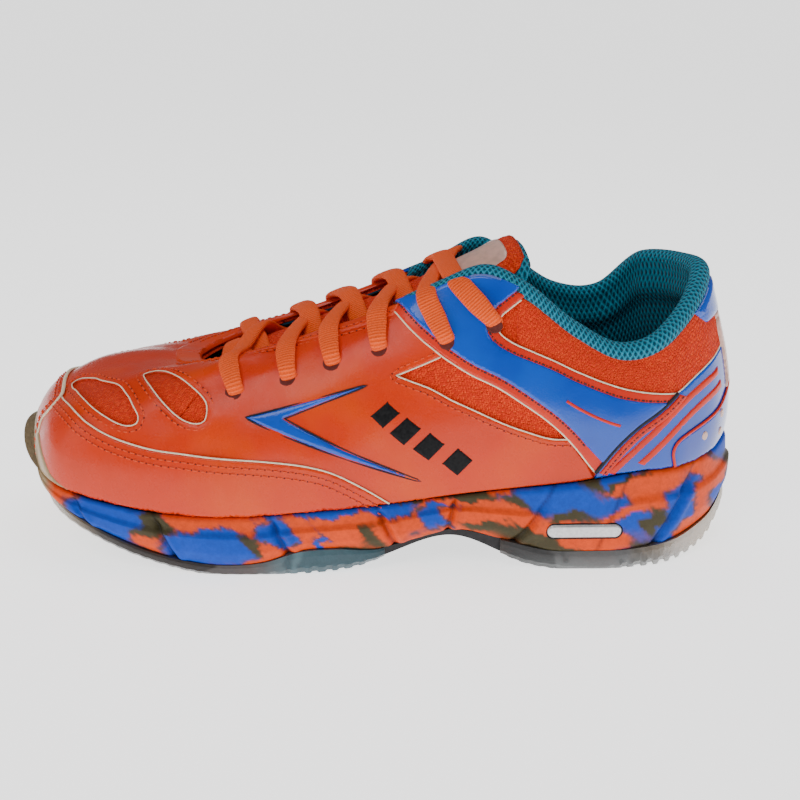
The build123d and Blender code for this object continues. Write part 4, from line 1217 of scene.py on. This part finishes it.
# Camouflage patches on the foam wall: x, z, half length, half height, lean, colour.
FOAM_ORANGE, FOAM_BLUE = (0.78, 0.065, 0.002), (0.002, 0.060, 0.48)
FOAM_OLIVE, FOAM_DARK = (0.055, 0.045, 0.018), (0.010, 0.022, 0.040)
TOE_TAN = (0.42, 0.30, 0.17)
O, B, G, D = range(4)
CAMO_COLOURS = np.array([FOAM_ORANGE, FOAM_BLUE, FOAM_OLIVE, FOAM_DARK])
LATERAL_PATCHES = [
    (-121, 27, 10, 4, -0.3, O), (-100, 20.5, 16, 5.5, -0.43, B), (-93, 25.5, 13, 2.2, -0.2, B),
    (-82, 17.5, 5, 7, 0.0, G), (-82, 11.5, 7, 3, -0.2, O), (-55, 21, 19, 3.2, -0.03, O),
    (-58, 11.5, 15, 5.5, 0.0, B), (-42, 12, 4, 4, 0.4, G), (-37, 8, 5, 6, 0.0, O),
    (-35, 18, 9, 3.2, -1.1, B), (-28, 11, 3.2, 3.5, 0.0, B), (-13, 24.5, 24, 1.9, 0.03, B),
    (-12, 17.5, 17, 5.5, 0.0, O), (-18, 14.5, 7, 1.6, -1.4, B), (2, 15, 5, 3.5, 0.5, G),
    (-24, 8, 6, 2, 0.3, O), (8, 25, 9, 2.6, 0.1, B), (14, 18, 9, 5, -0.2, O),
    (25, 21, 10, 3.4, 0.7, B), (24, 29.5, 9, 1.6, 0.15, G), (40, 30.5, 16, 2.6, 0.12, G),
    (33, 27, 9, 1.2, 0.1, O), (52, 31, 7, 1.5, 0.1, O), (46, 22.5, 20, 3.2, 0.0, O),
    (45, 19, 8, 1.8, -0.1, G), (61, 15, 7, 3, -0.3, G), (63, 18.5, 8, 2.2, 0.0, O),
    (70, 29, 12, 5.5, 0.2, B), (58, 27, 5, 2.5, 0.3, G), (84, 26.5, 14, 3.8, 0.15, B),
    (87, 37, 7, 3.5, 0.4, G), (76, 21.5, 11, 1.8, 0.1, G), (112, 40, 15, 3.8, -0.1, O),
    (96, 38, 8, 2.2, 0.3, B), (100, 33, 12, 2.5, 0.25, O), (110, 30, 12, 4.5, 0.35, O),
    (97, 34.5, 7, 1.4, 0.3, G), (102, 17.5, 5, 6, 0.2, B), (110, 17.5, 4, 6, 0.5, G),
    (92, 14, 11, 4, 0.0, O), (80, 11, 8, 2, 0.0, O), (72, 11, 6, 2.5, 0.0, G), (101, 24, 8, 2.2, 0.5, O),
    (121, 24, 6, 9, 0.3, B), (134, 29, 6, 10, 0.2, O), (138, 44, 7, 6, 0.0, B), (127, 36, 5, 3.5, 0.4, O),
    (116, 13, 6, 3, 0.4, B), (127, 15, 6, 4, 0.6, O), (140, 22, 6, 6, 0.4, B),
]


def camo(points, side):
    """Paint of the foam: listed patches, with cloudy borders."""
    x, z = points[:, 0], points[:, 2]
    drift_x = (2.6 * np.sin(z / 2.3 + x / 8.0) + 1.1 * np.sin(x / 2.1 + z / 1.3)
               + 0.5 * np.sin(x * 1.7 - z * 2.3))
    turn = side * 1.3 * np.clip((110 - x) / 40, 0, 1)
    drift_z = 1.3 * np.sin(x / 4.3 + turn) + 0.6 * np.sin(x / 1.6 + z) + 0.35 * np.sin(x * 2.1 + z * 1.9)
    score = np.full((len(points), 4), -9.0)
    score[:, O] = -1.9
    score[:, G] = -1.75 + 0.4 * np.sin(x / 6.1 + z / 3.3)
    for px, pz, long, high, lean, colour in LATERAL_PATCHES:
        if side == MEDIAL:
            px += 13.0 * min(1, max(0, (100 - px) / 60))
        dx, dz = x + drift_x - px, z + drift_z - pz
        stretch = hypot(1, lean)
        a = (dx + dz * lean) / stretch / long
        b = (dz - dx * lean) / stretch / high
        value = -np.sqrt(a * a + b * b)
        score[:, colour] = np.maximum(score[:, colour], value)
    weight = np.exp(score * 11.0)
    weight /= weight.sum(1, keepdims=True)
    border = np.clip(3.4 * weight[:, O] * weight[:, B], 0, 0.85)[:, None]
    # Painted shade: the foam colour is darkened along the slanted cut grooves.
    cut = np.full(len(points), 9.0)
    t = (z - side_height(PARTING, x)) / np.maximum(side_height(WALL_TOP, x) - side_height(PARTING, x), 1)
    for high, low in CUTS:
        cut = np.minimum(cut, np.abs(x - (low + (high - low) * t)))
    shade = 1 - 0.55 * np.exp(-(cut / 0.8)**2)
    colours = (weight @ CAMO_COLOURS * (1 - border) + CAMO_COLOURS[G] * border) * shade[:, None]
    toe = np.clip((-120 - x) / 5, 0, 1)[:, None]
    return colours * (1 - toe) + np.array(TOE_TAN) * toe


def paint(obj, colours):
    layer = obj.data.color_attributes.new("paint", "FLOAT_COLOR", "POINT")
    rgba = np.c_[colours, np.ones(len(colours))].astype(np.float32)
    layer.data.foreach_set("color", rgba.ravel())
    obj.data.color_attributes.active_color = layer


def foam_wall():
    """Midsole ring: sculpted outer wall, lip under the upper, inner wall and underside."""
    count, wall_rows = 900, 26
    p, out, share = feather_ring(count)
    x = p[:, 0]
    low = side_height(PARTING, x + out[:, 0] * 2.5)
    high = side_height(WALL_TOP, x + out[:, 0] * 2.5)
    side = np.where(p[:, 1] < 0, -1.0, 1.0)
    rows = []
    for t in np.linspace(0, 1, wall_rows):
        plain_spot = np.where(side < 0, np.exp(-((x - 83) / 17)**6), 0.0)
        grow = (2.2 + 0.6 * sin(pi * t)
                + facets(x, t) * np.clip((high - low) / 12, 0, 1) * (1 - plain_spot)
                + 1.2 * plain_spot - 7.8 * toe_share(share, 0.12)
                - 1.2 * np.clip((t - 0.93) / 0.07, 0, 1)**2
                - 0.8 * np.clip((0.07 - t) / 0.07, 0, 1)**2)
        place = p + out * grow[:, None]
        lift = 0.7 * np.sin(x / 13.0) * sin(pi * t)
        rows.append(np.c_[place, low + (high - low) * t + lift])
    for grow, drop in ((0.2, 0.1), (-3.0, 0.6)):
        rows.append(np.c_[p + out * grow, high - drop])
    for t in (0.72, 0.5, 0.0):
        rows.append(np.c_[p - out * (3.8 if t > 0.6 else 6.0), low + (high - low - 1) * t + 0.05])
    verts = np.stack(rows, 1)
    n = verts.shape[1]
    faces = grid_faces(count, n, wrap=True)
    last = (count - 1) * n
    faces += [(last + k, last + (k + 1) % n, (k + 1) % n, k) for k in range(n)]
    flat = verts.reshape(-1, 3)
    obj = new_object("midsole", flat, faces, mat["camo"])
    sides = np.repeat(p[:, 1], n)
    colours = np.where((sides < 0)[:, None], camo(flat, LATERAL), camo(flat, MEDIAL))
    paint(obj, colours)
    return obj


midsole = foam_wall()
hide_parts("midsole")


def sole_slab(name, start, end, grow, material, top, bottom, teeth=0.0, count=420):
    """Slab of the sole between two X positions, closed, with a toothed lower rim."""
    p, out, share = feather_ring(count * 2)
    outer = p + out * (grow - 11.0 * toe_share(share, 0.14))[:, None]
    keep = (outer[:, 0] > start) & (outer[:, 0] < end)
    order = np.argsort(np.arctan2(outer[keep][:, 1] - 3, outer[keep][:, 0] - (start + end) / 2))
    rim = outer[keep][order]
    loop = []
    for a, b in zip(rim, np.roll(rim, -1, 0)):
        steps = max(1, int(np.linalg.norm(b - a) / 1.6))
        loop += [a + (b - a) * k / steps for k in range(steps)]
    rim = np.array(loop)
    spine = np.stack([np.clip(rim[:, 0], start + 18, end - 30), np.full(len(rim), 2.0)], -1)
    run = np.r_[0, np.cumsum(np.linalg.norm(np.diff(rim, axis=0), axis=1))]
    where = 0.15 + 0.85 * np.clip((rim[:, 0] - 92) / 6, 0, 1) + 0.35 * np.exp(-((rim[:, 0] + 22) / 22)**4)
    notch = teeth * where * (0.5 + 0.5 * np.sign(np.sin(run * 2 * pi / 5.2)))
    rows = []
    for share in (0.97, 0.8, 0.6, 0.35, 0.12, 0.03):
        q = rim + (spine - rim) * share
        rows.append(np.c_[q, top(q[:, 0])])
    for drop, back in ((0.0, 0.35), (0.25, 0.0), (0.75, -0.25), (1.0, 0.1)):
        q = rim - (rim - spine) / np.linalg.norm(rim - spine, axis=1, keepdims=True) * back
        z_top, z_low = top(rim[:, 0]) - 0.1, bottom(rim[:, 0]) + notch
        rows.append(np.c_[q, z_top + (z_low - z_top) * drop])
    for share in (0.04, 0.08, 0.13, 0.35, 0.6, 0.8, 0.97):
        q = rim + (spine - rim) * share
        tread = 0.8 * (np.sin(q[:, 0] * 0.9 + np.abs(q[:, 1]) * 0.5) > 0) * (share > 0.05)
        rows.append(np.c_[q, bottom(q[:, 0]) + np.minimum(tread + notch * (share < 0.1), 1.2)])
    verts = np.stack(rows, 1)
    n = verts.shape[1]
    faces = []
    for r in range(len(rim)):
        s = (r + 1) % len(rim)
        for k in range(n - 1):
            faces.append((r * n + k, s * n + k, s * n + k + 1, r * n + k + 1))
    faces.append(tuple(r * n for r in range(len(rim)))[::-1])
    faces.append(tuple(r * n + n - 1 for r in range(len(rim))))
    return new_object(name, verts.reshape(-1, 3), faces, material, smooth=False)


def ground(x):
    return side_height(GROUND, x)


def parting(x):
    return np.maximum(side_height(PARTING, x) + 0.1, ground(x) + 1.4)


SMOKY_TAN, SMOKY_BROWN, SMOKY_BLUE = (0.40, 0.28, 0.15), (0.040, 0.032, 0.028), (0.035, 0.095, 0.12)
SMOKY_GREY, SMOKY_PALE = (0.030, 0.030, 0.030), (0.12, 0.13, 0.13)


def smoky(obj):
    """Smoked rubber: tan at the toe, brown along the ball, bluish before the arch, grey at the heel."""
    x, y, z = (np.array([v.co for v in obj.data.vertices]) * 1000).T
    toe = np.clip((-100 - x) / 34, 0, 1)[:, None]
    blue = np.exp(-((x + 12) / 24)**4)[:, None]
    heel = np.clip((x - 52) / 4, 0, 1)[:, None]
    tip = np.clip((x - 100) / 30, 0, 1)[:, None]
    low = np.clip((5.5 - z) / 4, 0, 1)[:, None]
    colours = np.array(SMOKY_BROWN) * (1 - toe) + np.array(SMOKY_TAN) * toe
    colours = colours * (1 - blue) + np.array(SMOKY_BLUE) * blue
    grey = np.array(SMOKY_GREY) * (1 - tip) + np.array(SMOKY_TAN) * 0.8 * tip
    grey = grey * (1 - 0.7 * low) + np.array(SMOKY_PALE) * 0.7 * low
    paint(obj, colours * (1 - heel) + grey * heel)


for name, start, end in (("outsole_forefoot", -150, 7.5), ("outsole_heel", 50.5, 150)):
    slab = sole_slab(name, start, end, 3.2, mat["rubber"], parting, ground, teeth=1.4)
    smoky(slab)
    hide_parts(name)

BADGE_X, BADGE_Z, BADGE_HALF, BADGE_HIGH = 83.0, 16.0, 14.3, 2.75


def badge(name, grow, start, thick, material):
    """Rounded slot-shaped plate that follows the foam wall."""
    p, out, _ = feather_ring(1200)
    near = p[:, 1] < 0
    order = np.argsort(p[near][:, 0])
    xs, ys = p[near][order].T
    rings_of = []
    for level, shrink in ((0.0, 0.0), (0.6, 0.0), (0.92, 0.25), (1.0, 0.8), (1.0, 1.6)):
        loop = []
        for k in range(72):
            angle = 2 * pi * k / 72
            radius = BADGE_HIGH + grow - shrink
            x = BADGE_X + (BADGE_HALF - BADGE_HIGH) * np.sign(cos(angle)) + radius * cos(angle)
            z = BADGE_Z + radius * sin(angle)
            loop.append((x, np.interp(x, xs, ys) - start - thick * level, z))
        rings_of.append(loop)
    verts = np.array(rings_of)
    count = verts.shape[1]
    faces = grid_faces(len(verts), count, wrap=True)
    faces += [tuple(range(count))[::-1], tuple((len(verts) - 1) * count + k for k in range(count))]
    return new_object(name, verts.reshape(-1, 3), faces, material)


badge("badge_frame", 0.9, 1.0, 3.2, mat["black"])
plate = badge("midsole_badge", 0.0, 1.0, 3.9, mat["silver"])
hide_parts("midsole_badge")

# ------------------------------------------------------------------ inner pieces
puff = patch("toe_puff", [rectangle(-0.2, 0.2, 0.03, 0.6)], -2.5, 0.7, mat["stiff"],
             spacing=3.5, edge=0.4)
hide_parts("toe_puff")
vamp_lining = patch("vamp_lining", [rectangle(-0.31, 0.31, 0.06, 0.955)], -3.4, 0.6, mat["teal"],
                    spacing=3.5, edge=0.4)
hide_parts("vamp_lining")
patch("throat_edge", [rectangle(-0.16, 0.16, 0.90, 0.99)], -1.9, 0.5, mat["coral"],
      spacing=3.0, edge=0.4)
for nodes, key in ((("heel_counter",), "stiff"), (("lasting_board",), "board"),
                   (("quarter_lining_lateral", "quarter_lining_medial"), "teal"),
                   (("sockliner",), "teal"), (("arch_shank",), "shank"),
                   (("aglets",), "clear")):
    for node in nodes:
        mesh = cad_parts[node].data
        mesh.materials.clear()
        mesh.materials.append(mat[key])

build_threads(thread_materials)

# ------------------------------------------------------------------ floor, light and camera
floor_mesh = bpy.data.meshes.new("floor")
floor_mesh.from_pydata([(-30, -30, 0), (30, -30, 0), (30, 30, 0), (-30, 30, 0)], [], [(0, 1, 2, 3)])
floor = bpy.data.objects.new("floor", floor_mesh)
bpy.context.collection.objects.link(floor)
floor_finish, _, floor_shader = new_material("floor", (0.9, 0.9, 0.9), 0.7, specular=0.1)
floor_shader.inputs["Emission Color"].default_value = (1, 1, 1, 1)
floor_shader.inputs["Emission Strength"].default_value = 1.6
floor_mesh.materials.append(floor_finish)

world = bpy.data.worlds.new("studio")
bpy.context.scene.world = world
world.use_nodes = True
world.node_tree.nodes["Background"].inputs["Color"].default_value = (1.0, 1.0, 1.0, 1)
world.node_tree.nodes["Background"].inputs["Strength"].default_value = 0.22


def area_light(name, place, target, size, power, height=None):
    """Soft rectangular light aimed at a point."""
    data = bpy.data.lights.new(name, "AREA")
    data.energy = power
    data.shape = "RECTANGLE"
    data.size, data.size_y = size, height or size
    lamp = bpy.data.objects.new(name, data)
    bpy.context.collection.objects.link(lamp)
    lamp.location = place
    lamp.rotation_euler = (Vector(target) - Vector(place)).to_track_quat("-Z", "Y").to_euler()


area_light("key", (-0.35, -0.75, 1.0), (0, 0, 0.04), 0.7, 4.6)
area_light("top", (0.15, 0.25, 1.1), (0, 0, 0.05), 0.9, 3.6, 0.5)
area_light("fill", (0.9, -0.7, 0.45), (0, 0, 0.05), 0.6, 1.3)
area_light("toe_fill", (-0.9, -0.35, 0.3), (-0.1, 0, 0.04), 0.5, 0.8)

CAMERA_AZIMUTH, CAMERA_ELEVATION, CAMERA_ROLL = radians(1.2), radians(18), radians(0.4)
CAMERA_DISTANCE, CAMERA_RIGHT, CAMERA_UP, CAMERA_AIM = 0.560, 0.0117, 0.0028, 0.050
camera_data = bpy.data.cameras.new("camera")
camera_data.lens = 62.46
camera = bpy.data.objects.new("camera", camera_data)
bpy.context.collection.objects.link(camera)
back = Vector((sin(CAMERA_AZIMUTH) * cos(CAMERA_ELEVATION), -cos(CAMERA_AZIMUTH) * cos(CAMERA_ELEVATION),
               sin(CAMERA_ELEVATION)))
right = Vector((cos(CAMERA_AZIMUTH), sin(CAMERA_AZIMUTH), 0))
up = back.cross(right)
turned = right * cos(CAMERA_ROLL) + up * sin(CAMERA_ROLL)
raised = up * cos(CAMERA_ROLL) - right * sin(CAMERA_ROLL)
camera.rotation_euler = Matrix((turned, raised, back)).transposed().to_euler()
camera.location = back * CAMERA_DISTANCE + right * CAMERA_RIGHT + up * CAMERA_UP + Vector((0, 0, CAMERA_AIM))
bpy.context.scene.camera = camera
